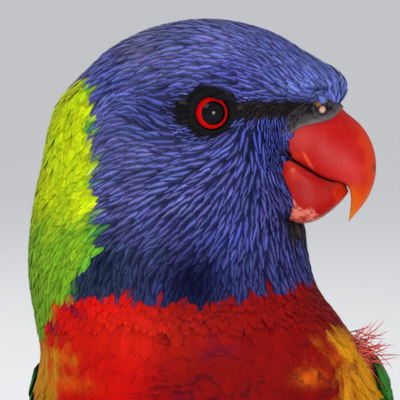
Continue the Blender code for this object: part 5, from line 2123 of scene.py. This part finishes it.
@dataclass
class Bill:
    """Both halves of the bill, and the cere that lies over the base of the upper one."""

    bench: Workbench
    cere_swell: float = 0.4
    nostril: tuple[float, float] = (21.1, 0.6)

    def upper_colour(self, points: np.ndarray) -> np.ndarray:
        """Red with two painted highlights, orange along the ridge, and orange-yellow at the tip."""
        px, py = picture_place(points)
        fore, rise = points[:, 1] - EYE_SIDE, points[:, 2] - EYE_HEIGHT
        reach = np.hypot(fore - CULMEN_CENTRE[0], rise - CULMEN_CENTRE[1])
        turn = np.degrees(np.arctan2(rise - CULMEN_CENTRE[1], fore - CULMEN_CENTRE[0]))
        noise = ripple(points, 2.0, 41)
        red = np.tile(srgb(152, 12, 12), (len(points), 1))
        # Painted highlights: two paler pink patches, one high on the bill's base and one low on its front
        red = blend(red, np.tile(srgb(162, 48, 44), (len(points), 1)), bump(np.hypot(px - 300, (py - 138) * 1.1), 0, 26))
        red = blend(red, np.tile(srgb(168, 38, 34), (len(points), 1)), bump(np.hypot(px - 352, py - 178), 0, 30) * 0.8)
        orange = ramp(reach + 0.5 * noise, 9.7, 11.9) * ramp(turn, 62.0, 18.0)
        colour = blend(red, np.tile(srgb(176, 46, 4), (len(points), 1)), orange * 0.95)
        tip = ramp(turn + 4.0 * noise, -16.0, -38.0) * ramp(reach, 6.5, 9.0)
        colour = blend(colour, np.tile(srgb(194, 78, 3), (len(points), 1)), tip)
        end = ramp(turn, -40.0, -56.0) * ramp(reach, 6.5, 9.0)
        colour = blend(colour, np.tile(srgb(186, 114, 12), (len(points), 1)), end * 0.75)
        bent = px - 303.5 - (py - 152.0) * 0.42 - (py - 152.0).clip(0.0, 30.0) ** 2 * 0.008
        streak = bump(bent, 0.0, 2.4) * ramp(py, 150.0, 156.0) * ramp(py, 174.0, 166.0)
        colour = blend(colour, np.tile(srgb(210, 90, 44), (len(points), 1)), streak * 0.65)
        corner = bump(np.hypot((px - 294.0) / 1.7, py - 159.5), 0.0, 6.5)
        colour = blend(colour, np.tile(srgb(190, 44, 6), (len(points), 1)), corner * 0.8)
        spot = bump(np.hypot((px - 374.0) / 0.8, (py - 170.0) / 1.6), 0.0, 4.4)
        colour = blend(colour, np.tile(srgb(84, 44, 12), (len(points), 1)), spot * 0.85)
        # A soft dark patch on the horn where it meets the cere near the bill's base
        cere_corner_dark = bump(np.hypot((px - 297.0) / 1.4, py - 122.0 + 3.0 * noise), 0.0, 8.0)
        colour = blend(colour, np.tile(srgb(70, 40, 44), (len(points), 1)), cere_corner_dark * 0.6)
        # Painted shade: the horn is blackened along the mouth and round the gape
        return blend(colour, np.tile(srgb(10, 5, 6), (len(points), 1)), self.mouth(points, UPPER_BILL, 1))

    @staticmethod
    def mouth(points: np.ndarray, table: Sequence[tuple], side: int) -> np.ndarray:
        """How black the horn is painted along its edge on the mouth and round the gape, as painted shade of the gap
        between the halves.

        Args:
            points: The points.
            table: The half's slices.
            side: 1 for the upper half, -1 for the lower.

        Returns:
            The share of black.
        """
        edge = [row[1] if side > 0 else row[0] for row in table][:8]
        fore, rise = points[:, 1] - EYE_SIDE, points[:, 2] - EYE_HEIGHT
        over = (rise - np.interp(fore, [p[0] for p in edge], [p[1] for p in edge])) * side
        gape = np.hypot(fore - 14.2, rise + 8.4)
        return np.clip(ramp(over, 0.2, 0.04) * ramp(fore, 24.6, 22.8) + ramp(gape, 1.5, 0.9), 0.0, 1.0)

    def lower_colour(self, points: np.ndarray) -> np.ndarray:
        """Deep red, with pale flaking skin at its base and a dull rim along the mouth."""
        px, py = picture_place(points)
        noise = ripple(points, 0.9, 42)
        colour = np.tile(srgb(140, 4, 2), (len(points), 1))
        mouth = np.interp(px, (285.0, 300.0, 318.0, 336.0, 350.0), (161.0, 166.0, 176.0, 186.0, 190.0))
        rim = ramp(py - mouth, 7.0, 0.0)
        colour = blend(colour, np.tile(srgb(166, 50, 44), (len(points), 1)), rim * 0.6)
        dull = bump(np.hypot((px - 332.0) / 1.8, py - 190.0), 0.0, 7.5)
        colour = blend(colour, np.tile(srgb(96, 30, 24), (len(points), 1)), dull * 0.4)
        cheek = bump(np.hypot(px - 294.0, py - 176.0), 0.0, 11.0)
        colour = blend(colour, np.tile(srgb(176, 48, 38), (len(points), 1)), cheek * 0.55)
        dot = bump(np.hypot(px - 293.5, py - 171.5), 0.0, 3.4)
        colour = blend(colour, np.tile(srgb(190, 104, 54), (len(points), 1)), dot * 0.6)
        end = ramp(px + 2.0 * noise, 330.0, 344.0)
        colour = blend(colour, np.tile(srgb(182, 40, 4), (len(points), 1)), end * 0.8)
        base = np.interp(px, (286.0, 293.0, 298.0, 304.0, 314.0, 324.0), (198.0, 201.0, 208.0, 211.0, 212.0, 219.0))
        folds = 0.5 + 0.5 * np.sin((py - 0.3 * px + 2.2 * noise) * 1.5) + 0.5 * ripple(points, 0.45, 45)
        flaky = ramp(py + 2.0 * noise, base - 1.0, base + 2.0) * ramp(px, 326.0, 314.0)
        flaky = flaky * (0.2 + 0.8 * ramp(folds, 0.15, 0.6))
        colour = blend(colour, np.tile(srgb(194, 108, 92), (len(points), 1)), flaky * 0.9)
        # Painted shade: the horn is blackened along the mouth and round the gape
        return blend(colour, np.tile(srgb(10, 5, 6), (len(points), 1)), self.mouth(points, LOWER_BILL, -1))

    def cere_colour(self, points: np.ndarray) -> np.ndarray:
        """Dark grey, paler at its lower rim, with the nostril's pink middle and a painted shade in the sunken ring
        round it.
        """
        px, py = picture_place(points)
        fore, rise = points[:, 1] - EYE_SIDE, points[:, 2] - EYE_HEIGHT
        mottle = np.exp(0.35 * ripple(points, 0.55, 46) + 0.2 * ripple(points, 2.0, 47))
        colour = np.tile(srgb(27, 24, 28), (len(points), 1)) * mottle[:, None]
        edge = np.interp(fore, [p[0] for p in CERE_EDGE][::-1], [p[1] for p in CERE_EDGE][::-1])
        rim = bump(rise - edge + 0.2 * ripple(points, 0.8, 48), 0.35, 0.9)
        colour = blend(colour, np.tile(srgb(104, 88, 90), (len(points), 1)), rim * 0.55)
        away = np.hypot(fore - self.nostril[0], rise - self.nostril[1])
        # Painted shade: a darker ring where the nostril's opening sinks
        colour = blend(colour, np.tile(srgb(14, 18, 20), (len(points), 1)), bump(away, 1.25, 0.75) * 0.8)
        pink = ramp(np.hypot(px - 322.5, (py - 110.5) * 0.9), 3.6, 2.2)
        colour = blend(colour, np.tile(srgb(196, 148, 124), (len(points), 1)), pink)
        fleck = ramp(np.hypot(px - 318.5, py - 105.5), 3.2, 1.8)
        return blend(colour, np.tile(srgb(150, 86, 30), (len(points), 1)), fleck * 0.8)

    def cere_block(self) -> bpy.types.Object:
        """Models a block across the head that holds the cere: its outline, filled and extruded."""
        line = [np.array(p) for p in CERE_EDGE]
        outline = [*line, np.array((9.0, 9.0)), np.array((30.0, 9.0))]
        near = np.array([face_point(*p, -12.0) for p in outline])
        far = near + np.array([24.0, 0.0, 0.0])
        return self.bench.ring_loft("cere_block", [near, far])

    def shape_nostrils(self, cere: bpy.types.Object) -> None:
        """Raises a rim round each nostril and sinks its opening, with a small knob inside."""
        mesh = cere.data
        points = self.bench.millimetres(np.array([v.co for v in mesh.vertices]))
        normals = np.array([v.normal for v in mesh.vertices])
        fore, rise = points[:, 1] - EYE_SIDE, points[:, 2] - EYE_HEIGHT
        away = np.hypot(fore - self.nostril[0], rise - self.nostril[1])
        side = ramp(np.abs(points[:, 0]), 2.5, 4.5)
        rim = 0.7 * bump(away, 1.75, 0.9)
        hole = -0.34 * bump(away, 1.0, 0.6)
        knob = 0.1 * bump(away, 0.0, 0.8)
        wrinkle = 0.08 * ripple(points, 0.9, 44) * ramp(away, 1.8, 3.0)
        moved = points + normals * ((rim + hole + knob) * side + wrinkle)[:, None]
        mesh.vertices.foreach_set("co", self.bench.metres(moved).ravel())
        mesh.update()

    def build(self) -> None:
        """Builds the upper and lower bill and the cere."""
        horn = HornFinish("bill_horn").make()
        for name, table, keel, rule in (
            ("beak_upper", UPPER_BILL, 1, self.upper_colour),
            ("beak_lower", LOWER_BILL, -1, self.lower_colour),
        ):
            part = self.bench.ring_loft(f"horn_{name}", bill_rings(table, keel))
            self.bench.apply(part, "SUBSURF", levels=2, render_levels=2)
            paint_points(self.bench, part, rule)
            self.bench.smooth_shade(part, 60.0)
            self.bench.deliver(part, horn, "bill_horn", name)
        cere = self.bench.ring_loft("cere_skin", bill_rings(UPPER_BILL, 1, self.cere_swell))
        block = self.cere_block()
        self.bench.apply(cere, "BOOLEAN", operation="INTERSECT", solver="EXACT", object=block)
        bpy.data.objects.remove(block)
        self.bench.apply(cere, "REMESH", mode="VOXEL", voxel_size=0.2 * MM, use_smooth_shade=True)
        self.bench.apply(cere, "SMOOTH", factor=0.6, iterations=4)
        self.shape_nostrils(cere)
        self.bench.apply(cere, "SMOOTH", factor=0.4, iterations=1)
        paint_points(self.bench, cere, self.cere_colour)
        self.bench.smooth_shade(cere)
        look = BareSkinFinish("cere_skin", 1300.0, 0.00012, 0.5, (120, 112, 112), 0.2).make()
        self.bench.deliver(cere, look, "cere_skin", "cere")


# Eyes


def eye_axis(side: int) -> np.ndarray:
    """The way that an eye looks. side is 1 for the head's right eye, which faces +X."""
    turn = math.radians(EYE_FORWARD)
    return np.array([side * math.cos(turn), math.sin(turn), 0.0])


def eye_centre(side: int) -> np.ndarray:
    """The middle of an eyeball."""
    start = EYE_SIDE - EYE_DEPTH * math.tan(math.radians(EYE_FORWARD))
    return np.array([0.0, start, EYE_HEIGHT]) + eye_axis(side) * EYE_DEPTH


@dataclass(frozen=True)
class EyeFinish:
    """A wet eyeball: black pupil, red iris with fine spokes, dark outside it."""

    name: str
    middle: Vector
    axis: Vector
    iris_radius: float = 3.0
    pupil_radius: float = 2.36
    pupil_shift: float = 0.26

    def distance(self, sheet: Sheet, shift: float) -> bpy.types.NodeSocket:
        """The distance from the eye's axis, moved forward by shift, in millimetres."""
        coordinates = sheet.tree.nodes["Texture Coordinate"].outputs["Object"]
        turn = self.axis.to_track_quat("Z", "X").inverted()
        forward = Vector((0.0, 1.0, 0.0)) * shift * MM
        place = turn @ -(self.middle + forward)
        turned = sheet.add("Mapping", coordinates, tuple(place), tuple(turn.to_euler()))
        flat = sheet.add("VectorMath", turned, (1.0, 1.0, 0.0), operation="MULTIPLY")
        node = sheet.tree.nodes.new("ShaderNodeVectorMath")
        node.operation = "LENGTH"
        sheet.tree.links.new(flat, node.inputs[0])
        return sheet.maths("MULTIPLY", node.outputs["Value"], 1.0 / MM)

    def make(self) -> bpy.types.Material:
        """Builds the material."""
        sheet = Sheet(self.name)
        sheet.add("TexCoord")
        coordinates = sheet.tree.nodes["Texture Coordinate"].outputs["Object"]
        from_iris = self.distance(sheet, 0.0)
        from_pupil = self.distance(sheet, self.pupil_shift)
        spokes = sheet.add("TexNoise", coordinates, None, 2600.0, 3.0, 0.6)
        iris = sheet.mix(spokes, srgb(226, 14, 14), srgb(158, 4, 8))
        edge = sheet.step(from_iris, self.iris_radius - 0.08, self.iris_radius + 0.1)
        outside = sheet.mix(edge, iris, (0.006, 0.005, 0.006))
        inside = sheet.step(from_pupil, self.pupil_radius + 0.07, self.pupil_radius - 0.07)
        sheet.link(sheet.mix(inside, outside, (0.002, 0.002, 0.003)), "Base Color")
        sheet.set(roughness=0.3, specular_ior_level=0.0, coat_weight=1.0, coat_roughness=0.015, coat_ior=1.19)
        return sheet.material


@dataclass
class Eye:
    """An eyeball with its cornea's bulge, and the ring of bare lid round it."""

    bench: Workbench
    side: int
    word: str
    lid_look: bpy.types.Material
    lid_thickness: float = 0.7
    lid_radius: float = 4.06
    beads: int = 46

    def turn(self) -> tuple[float, float, float]:
        """The Euler turn that sets a primitive's own Z along the eye's axis."""
        return tuple(Vector(eye_axis(self.side)).to_track_quat("Z", "Y").to_euler())

    def build_ball(self) -> None:
        """Models the eyeball: a sphere with its front drawn out a little."""
        self.bench.deselect()
        centre = Vector(self.bench.metres(eye_centre(self.side)))
        sizes = {"segments": 64, "ring_count": 40, "radius": EYE_RADIUS * MM}
        bpy.ops.mesh.primitive_uv_sphere_add(location=centre, rotation=self.turn(), **sizes)
        ball = bpy.context.object
        ball.name = ball.data.name = f"eyeball_{self.word}"
        bpy.ops.object.transform_apply(location=True, rotation=True, scale=True)
        axis = Vector(eye_axis(self.side))
        for vert in ball.data.vertices:
            way = (vert.co - centre) / (EYE_RADIUS * MM)
            front = max(way.dot(axis), 0.0)
            vert.co += axis * (0.28 * MM * float(ramp(np.array(front), 0.72, 1.0)))
        self.bench.smooth_shade(ball)
        look = EyeFinish(f"eye_{self.word}", centre, axis).make()
        self.bench.deliver(ball, look, "eye_gloss", f"eye_{self.word}")

    def build_lid(self) -> None:
        """Models the lid: a ring with fine folds across it and small beads along its rim."""
        self.bench.deselect()
        axis = eye_axis(self.side)
        middle = eye_centre(self.side) + axis * (LID_DEPTH - EYE_DEPTH)
        bpy.ops.mesh.primitive_torus_add(
            location=tuple(self.bench.metres(middle)),
            rotation=self.turn(),
            major_segments=276,
            minor_segments=32,
            major_radius=self.lid_radius * MM,
            minor_radius=self.lid_thickness * MM,
        )
        lid = bpy.context.object
        lid.name = lid.data.name = f"lid_{self.word}"
        bpy.ops.object.transform_apply(location=True, rotation=True, scale=True)
        points = self.bench.millimetres(np.array([v.co for v in lid.data.vertices]))
        normals = np.array([v.normal for v in lid.data.vertices])
        off = points - middle
        flat = off - axis * (off @ axis)[:, None]
        forward = np.cross(axis, [0.0, 0.0, 1.0])
        angle = np.arctan2(off[:, 2], off @ forward)
        reach = np.linalg.norm(flat, axis=1)
        row = np.round((reach - self.lid_radius) / 0.28)
        beads = np.abs(np.cos(self.beads * angle / 2 + 0.5 * math.pi * (row % 2)))
        beads *= np.abs(np.cos(math.pi * (reach - self.lid_radius) / 0.28))
        crease = bump(reach, self.lid_radius + 0.14, 0.25)
        moved = points + normals * (0.13 * beads - 0.14 * crease)[:, None]
        lid.data.vertices.foreach_set("co", self.bench.metres(moved).ravel())
        lid.data.update()
        # Painted light and shade: the beads' tops are lighter and the grooves between them near black, following the
        # bead relief
        bead_light_and_shade = np.outer(1 - beads, srgb(2, 2, 3)) + np.outer(beads, srgb(26, 27, 30))
        layer = lid.data.color_attributes.new("Ground", "FLOAT_COLOR", "POINT")
        layer.data.foreach_set("color", np.column_stack([bead_light_and_shade, np.ones(len(bead_light_and_shade))]).ravel())
        self.bench.smooth_shade(lid)
        self.bench.deliver(lid, self.lid_look, "lid_skin", f"eyelid_{self.word}")

    def build(self) -> None:
        """Builds the eyeball and the lid."""
        self.build_ball()
        self.build_lid()


# Legs


def tube_rings(path: np.ndarray, radii: np.ndarray, sides: int) -> list[np.ndarray]:
    """Rings of a tube along a path.

    Args:
        path: The middle line's points.
        radii: The tube's radius at each of them.
        sides: How many points each ring has.

    Returns:
        The rings' points.
    """
    turn = np.linspace(0, 2 * math.pi, sides, endpoint=False)
    rings = []
    for spot, way, radius in zip(path, unit(np.gradient(path, axis=0)), radii):
        side = np.cross(way, [0.0, 0.0, 1.0])
        if np.linalg.norm(side) < 0.2:
            side = np.cross(way, [1.0, 0.0, 0.0])
        side = unit(side)
        up = np.cross(side, way)
        rings.append(spot + radius * (np.outer(np.cos(turn), side) + np.outer(np.sin(turn), up)))
    return rings


@dataclass(frozen=True)
class Toe:
    """One toe: its direction from straight ahead to the outside, its length, thickness and joints."""

    turn: float
    reach: float
    thick: float
    joints: int


@dataclass
class Leg:
    """Bare scaly shank, foot with two toes ahead and two behind, and four claws."""

    bench: Workbench
    side: Side
    toes: tuple[Toe, ...] = (
        Toe(-20.0, 14.0, 0.95, 2),
        Toe(17.0, 20.0, 1.0, 3),
        Toe(148.0, 17.5, 1.0, 4),
        Toe(-152.0, 10.5, 0.9, 2),
    )
    toe_radius: float = 1.95
    pad_radius: float = 3.2
    claw_length: float = 6.4
    scute: float = 1.15
    voxel: float = 0.27
    ankle: tuple[float, float, float] = (-30.0, 15.5, 19.5)
    sole: tuple[float, float, float] = (-19.0, 16.5, 3.0)

    def place(self, spot: tuple[float, float, float]) -> np.ndarray:
        """A place of the left leg, on this leg."""
        return np.array(spot) * (1.0, self.side.value, 1.0)

    def toe_way(self, toe: Toe) -> np.ndarray:
        """The level direction that a toe points in."""
        angle = math.radians(toe.turn)
        return np.array([math.cos(angle), self.side.value * math.sin(angle), 0.0])

    def shank_path(self) -> tuple[np.ndarray, np.ndarray]:
        """The shank's middle line, from inside the thigh's feathers to the foot, and its radii."""
        hip, ankle, foot = self.place(BodyForm.HIP), self.place(self.ankle), self.place(self.sole)
        down = unit(ankle - hip)
        bend = ankle + down * 2.4
        stops = [ankle - down * 4.0, ankle, bend, bend + (foot - bend) * 0.3, bend + (foot - bend) * 0.7, foot]
        radii = [2.2, 2.55, 2.75, 2.25, 2.1, 2.6]
        rows = np.column_stack([np.array(stops), radii])
        rows = hermite(np.linspace(0.0, 1.0, 6), rows, np.linspace(0.0, 1.0, 40))
        return rows[:, :3], rows[:, 3]

    def toe_path(self, toe: Toe) -> tuple[np.ndarray, np.ndarray]:
        """A toe's middle line from the foot's middle to its end, and its radii, swollen under each joint."""
        share = np.linspace(0.0, 1.0, 36)
        foot, middle = self.place(self.sole), self.toe_radius * 0.9
        high = middle + (foot[2] + 0.6 - middle) * (1 - np.clip(share / 0.32, 0.0, 1.0)) ** 2
        path = foot * (1, 1, 0) + np.outer(share * toe.reach, self.toe_way(toe))
        waves = np.cos(2 * math.pi * (share * toe.joints + 0.12))
        radii = self.toe_radius * toe.thick * (1.12 - 0.26 * share + 0.08 * waves)
        radii *= 1.0 - 0.25 * ramp(share, 0.9, 1.0)
        path[:, 2] = high
        return path, radii

    def build_foot(self) -> None:
        """Models shank, pad and toes as one, and raises the scales on them."""
        word = self.side.word
        path, radii = self.shank_path()
        parts = [self.bench.ring_loft(f"shank_{word}", tube_rings(path, radii, 28))]
        for number, toe in enumerate(self.toes):
            rings = tube_rings(*self.toe_path(toe), 24)
            parts.append(self.bench.ring_loft(f"toe_{word}_{number}", rings))
        foot = self.place(self.sole)
        pad = np.array([foot * (1, 1, 0) + (0.0, 0.0, height) for height in np.linspace(0.1, 4.2, 9)])
        width = self.pad_radius * np.array([0.88, 0.97, 1.0, 1.0, 0.98, 0.93, 0.85, 0.74, 0.6])
        parts.append(self.bench.ring_loft(f"pad_{word}", tube_rings(pad, width, 28)))
        skin = self.bench.join(f"leg_{word}", parts)
        self.bench.apply(skin, "REMESH", mode="VOXEL", voxel_size=self.voxel * MM, use_smooth_shade=True)
        self.bench.apply(skin, "SMOOTH", factor=0.6, iterations=5)
        self.raise_scales(skin)
        self.bench.smooth_shade(skin)
        look = bpy.data.materials.get("leg_skin")
        look = look or BareSkinFinish("leg_skin", 1700.0, 0.00008, 0.5, (132, 126, 122), 0.3).make()
        self.bench.deliver(skin, look, "leg_skin", f"shank_{word}", f"foot_{word}")

    def scale_pattern(self, points: np.ndarray, normals: np.ndarray) -> np.ndarray:
        """How far the scales stand at each point: 1 on a plate's middle and 0 in the grooves."""
        best = np.full(len(points), np.inf)
        plates = np.zeros(len(points))
        shank = self.shank_path()[0]
        runs = [(self.toe_path(toe)[0], True) for toe in self.toes] + [(shank, False)]
        for path, is_toe in runs:
            steps = np.linalg.norm(np.diff(path, axis=0), axis=1)
            lengths = np.concatenate([[0.0], np.cumsum(steps)])
            away = np.linalg.norm(points[:, None] - path[None], axis=2)
            nearest = away.argmin(axis=1)
            distance = away.min(axis=1)
            way = unit(np.gradient(path, axis=0))[nearest]
            length = lengths[nearest] + ((points - path[nearest]) * way).sum(axis=1)
            if is_toe:
                top = ramp(normals[:, 2], -0.1, 0.5)
                wave = np.abs(np.sin(math.pi * length / self.scute))
                scutes = 1.0 - (1.0 - wave) ** 2.2
                pads = 0.5 + 0.5 * ripple(points, 0.75, 51)
                pattern = scutes * top + 0.55 * np.clip(pads, 0.0, 1.0) * (1 - top)
            else:
                side = unit(np.cross(way, [0.0, 1.0, 0.0]))
                lift = np.cross(way, side)
                off = points - path[nearest]
                angle = np.arctan2((off * lift).sum(axis=1), (off * side).sum(axis=1)) / (2 * math.pi)
                row = np.floor(length / self.scute)
                across = np.abs(np.sin(math.pi * (angle * 9 + 0.5 * (row % 2))))
                down = np.abs(np.sin(math.pi * length / self.scute))
                pattern = 1.0 - (1.0 - np.minimum(across, down)) ** 2.6
            nearer = distance < best
            plates[nearer] = pattern[nearer]
            best = np.minimum(best, distance)
        return plates

    def raise_scales(self, skin: bpy.types.Object) -> None:
        """Moves the skin's points out by the scales' pattern, rests them on the floor and paints them."""
        mesh = skin.data
        points = self.bench.millimetres(np.array([v.co for v in mesh.vertices]))
        normals = np.array([v.normal for v in mesh.vertices])
        plates = self.scale_pattern(points, normals)
        moved = points + normals * (0.2 * plates - 0.12)[:, None]
        moved[:, 2] = np.maximum(moved[:, 2], 0.02)
        mesh.vertices.foreach_set("co", self.bench.metres(moved).ravel())
        mesh.update()
        light = np.outer(1 - plates, srgb(34, 32, 34)) + np.outer(plates, srgb(92, 88, 90))
        worn = ripple(points, 2.5, 52)[:, None]
        light = light * (1.0 + 0.16 * worn)
        layer = mesh.color_attributes.new("Ground", "FLOAT_COLOR", "POINT")
        layer.data.foreach_set("color", np.column_stack([light.clip(0, 1), np.ones(len(light))]).ravel())

    def model_claw(self) -> bpy.types.Object:
        """Models one hooked claw at the origin, pointing along +X from its root."""
        share = np.linspace(0.0, 1.0, 22)
        rise = 0.95 * np.sin(math.pi * (share - 0.1).clip(0.0, 1.0)) - 1.45 * share**2.2
        run = self.claw_length * 0.9 * share - 0.5
        path = np.column_stack([run, np.zeros(len(share)), rise])
        radii = 1.2 * (1 - share) ** 0.8 + 0.07
        rings = tube_rings(path, radii, 16)
        groove = 1.0 - 0.12 * bump(np.linspace(0, 2 * math.pi, 16, endpoint=False), 1.5 * math.pi, 0.5)
        rings = [spot + (ring - spot) * groove[:, None] for spot, ring in zip(path, rings)]
        floor = self.bench.metres(np.zeros((1, 3)))[0]
        claw = self.bench.ring_loft("claw", rings)
        points = np.array([v.co for v in claw.data.vertices]) - floor
        claw.data.vertices.foreach_set("co", points.ravel())
        return claw

    def build_claws(self) -> None:
        """Copies the claw to the end of each toe."""
        model = self.model_claw()
        look = bpy.data.materials.get("claw_horn")
        look = look or HornFinish("claw_horn", 0.3, 1400.0, 0.4, (120, 112, 110), (8, 8, 9)).make()
        foot = self.place(self.sole) * (1, 1, 0) + (0.0, 0.0, self.toe_radius * 0.88)
        for number, toe in enumerate(self.toes):
            claw = model.copy()
            claw.data = model.data.copy()
            claw.name = claw.data.name = f"claw_horn_{self.side.word}_{number + 1}"
            bpy.context.scene.collection.objects.link(claw)
            way = self.toe_way(toe)
            claw.location = self.bench.metres((foot + way * (toe.reach - 0.1))[None])[0]
            claw.rotation_euler = (0.0, 0.0, math.atan2(way[1], way[0]))
            claw.scale = (toe.thick,) * 3
            self.bench.deselect()
            self.bench.take(claw)
            bpy.ops.object.transform_apply(location=True, rotation=True, scale=True)
            paint_points(self.bench, claw, self.claw_colour)
            self.bench.smooth_shade(claw)
            self.bench.deliver(claw, look, "claw_horn", f"claw_{self.side.word}_{number + 1}")
        bpy.data.objects.remove(model)

    def claw_colour(self, points: np.ndarray) -> np.ndarray:
        """Dark horn, greyer at the root."""
        foot = self.place(self.sole)
        away = np.linalg.norm((points - foot)[:, :2], axis=1)
        root = 0.35 + 0.25 * ripple(points, 1.2, 53) - 0.02 * (away - 14.0)
        return blend(
            np.tile(srgb(24, 22, 24), (len(points), 1)),
            np.tile(srgb(86, 80, 80), (len(points), 1)),
            np.clip(root, 0.0, 1.0),
        )

    def build(self) -> None:
        """Builds the shank with its foot, and the claws."""
        self.build_foot()
        self.build_claws()


# Studio


@dataclass
class Studio:
    """A plain pale floor, soft light, and the camera at the photograph's viewing angle."""

    azimuth: float = 96.0
    elevation: float = 3.0
    distance: float = 0.8
    floor_reach: float = 80.0
    world_light: float = 0.75
    pixels: float = 400.0
    sensor: float = 36.0
    eye_offset: tuple[float, float] = (12.0, 87.0)

    def back(self) -> Vector:
        """The direction from the bird to the camera."""
        azimuth, elevation = math.radians(self.azimuth), math.radians(self.elevation)
        level = math.cos(elevation)
        return Vector((math.sin(azimuth) * level, -math.cos(azimuth) * level, math.sin(elevation)))

    def target(self) -> Vector:
        """The point at the middle of the picture, from the lid of the eye that faces the camera."""
        low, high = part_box("eyelid_right")
        lid = (Vector(low) + Vector(high)) / 2
        right = (-self.back()).cross(Vector((0, 0, 1))).normalized()
        up = right.cross(-self.back())
        across, down = self.eye_offset
        return lid - right * (across * PIXEL * MM) - up * (down * PIXEL * MM)

    def add_camera(self) -> None:
        """Sets the camera so that the eye falls where the photograph shows it."""
        data = bpy.data.cameras.new("camera")
        camera = bpy.data.objects.new("camera", data)
        bpy.context.scene.collection.objects.link(camera)
        camera.location = self.target() + self.back() * self.distance
        camera.rotation_euler = self.back().to_track_quat("Z", "Y").to_euler()
        data.sensor_width = self.sensor
        data.lens = self.sensor * self.distance / (self.pixels * PIXEL * MM)
        data.clip_start, data.clip_end = 0.01, 400.0
        bpy.context.scene.camera = camera

    def add_floor(self) -> None:
        """A wide pale floor."""
        bpy.ops.mesh.primitive_circle_add(vertices=96, radius=self.floor_reach, fill_type="TRIFAN")
        floor = bpy.context.object
        floor.name = floor.data.name = "floor"
        sheet = Sheet("pale_floor")
        coordinates = sheet.add("TexCoord")
        coordinates = sheet.tree.nodes["Texture Coordinate"].outputs["Object"]
        grain = sheet.add("TexNoise", coordinates, None, 60.0, 3.0, 0.5)
        sheet.link(sheet.mix(grain, (0.72, 0.72, 0.71), (0.76, 0.76, 0.75)), "Base Color")
        sheet.set(roughness=0.75)
        floor.data.materials.append(sheet.material)

    def add_light(self, name: str, place: tuple, size: float, power: float, warmth: float = 0.0) -> None:
        """A square soft light that faces the head.

        Args:
            name: The light's name.
            place: Where it stands, in metres from the picture's middle: right, up and back.
            size: Its side in metres.
            power: Its power in watts.
            warmth: How far its colour leans to orange, or to blue below 0.
        """
        data = bpy.data.lights.new(name, "AREA")
        data.size, data.energy = size, power
        data.color = (1.0, 1.0 - 0.1 * max(warmth, 0) + 0.03 * min(warmth, 0), 1.0 - 0.25 * warmth)
        light = bpy.data.objects.new(name, data)
        bpy.context.scene.collection.objects.link(light)
        right = (-self.back()).cross(Vector((0, 0, 1))).normalized()
        across, up, back = place
        spot = self.target() + right * across + Vector((0, 0, 1)) * up + self.back() * back
        light.location = spot
        light.rotation_euler = (spot - self.target()).to_track_quat("Z", "Y").to_euler()

    def build(self) -> None:
        """Sets up the studio."""
        scene = bpy.context.scene
        world = bpy.data.worlds.new("soft_room")
        world.use_nodes = True
        background = world.node_tree.nodes["Background"]
        background.inputs["Color"].default_value = (0.93, 0.95, 1.0, 1.0)
        background.inputs["Strength"].default_value = self.world_light
        scene.world = world
        scene.view_settings.view_transform = "Standard"
        self.add_floor()
        self.add_light("key", (-0.9, 1.5, 1.3), 1.0, 17.0, 0.1)
        self.add_light("fill", (1.2, 0.5, 0.9), 1.2, 1.4, -0.1)
        self.add_light("rim", (-0.6, 1.2, -1.2), 0.8, 8.0)
        self.add_light("eye_light", (0.27, -0.02, 0.8), 0.2, 5.2)
        self.add_camera()


def main() -> None:
    """Builds and dresses the bird, and sets up the studio."""
    logging.basicConfig(level=logging.INFO, format="%(message)s")
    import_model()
    bench = Workbench()
    Studio().build()
    body = BodyForm()
    markings = Markings()
    Skin(bench, markings, body).build()
    Coat(bench, markings, body).build()
    flight = VanePattern(bench, *FLIGHT_VANE)
    covert = VanePattern(bench, *COVERT_VANE)
    vane_look = FeatherFinish("flight_plumage", 0.04, 60.0, barb_depth=0.3, roughness=0.5, rim=0.5).make()
    skin_look = bpy.data.materials["plumage_skin"]
    for side in Side:
        Wing(bench, side, flight, covert).build(vane_look, skin_look)
    Tail(bench, flight, covert).build(vane_look)
    Bill(bench).build()
    lid_look = BareSkinFinish("lid_beads", 2400.0, 0.00006, 0.6, (34, 34, 38), 0.12, 0.03).make()
    Eye(bench, 1, "right", lid_look).build()
    Eye(bench, -1, "left", lid_look).build()
    for side in Side:
        Leg(bench, side).build()


if __name__ == "__main__":
    main()
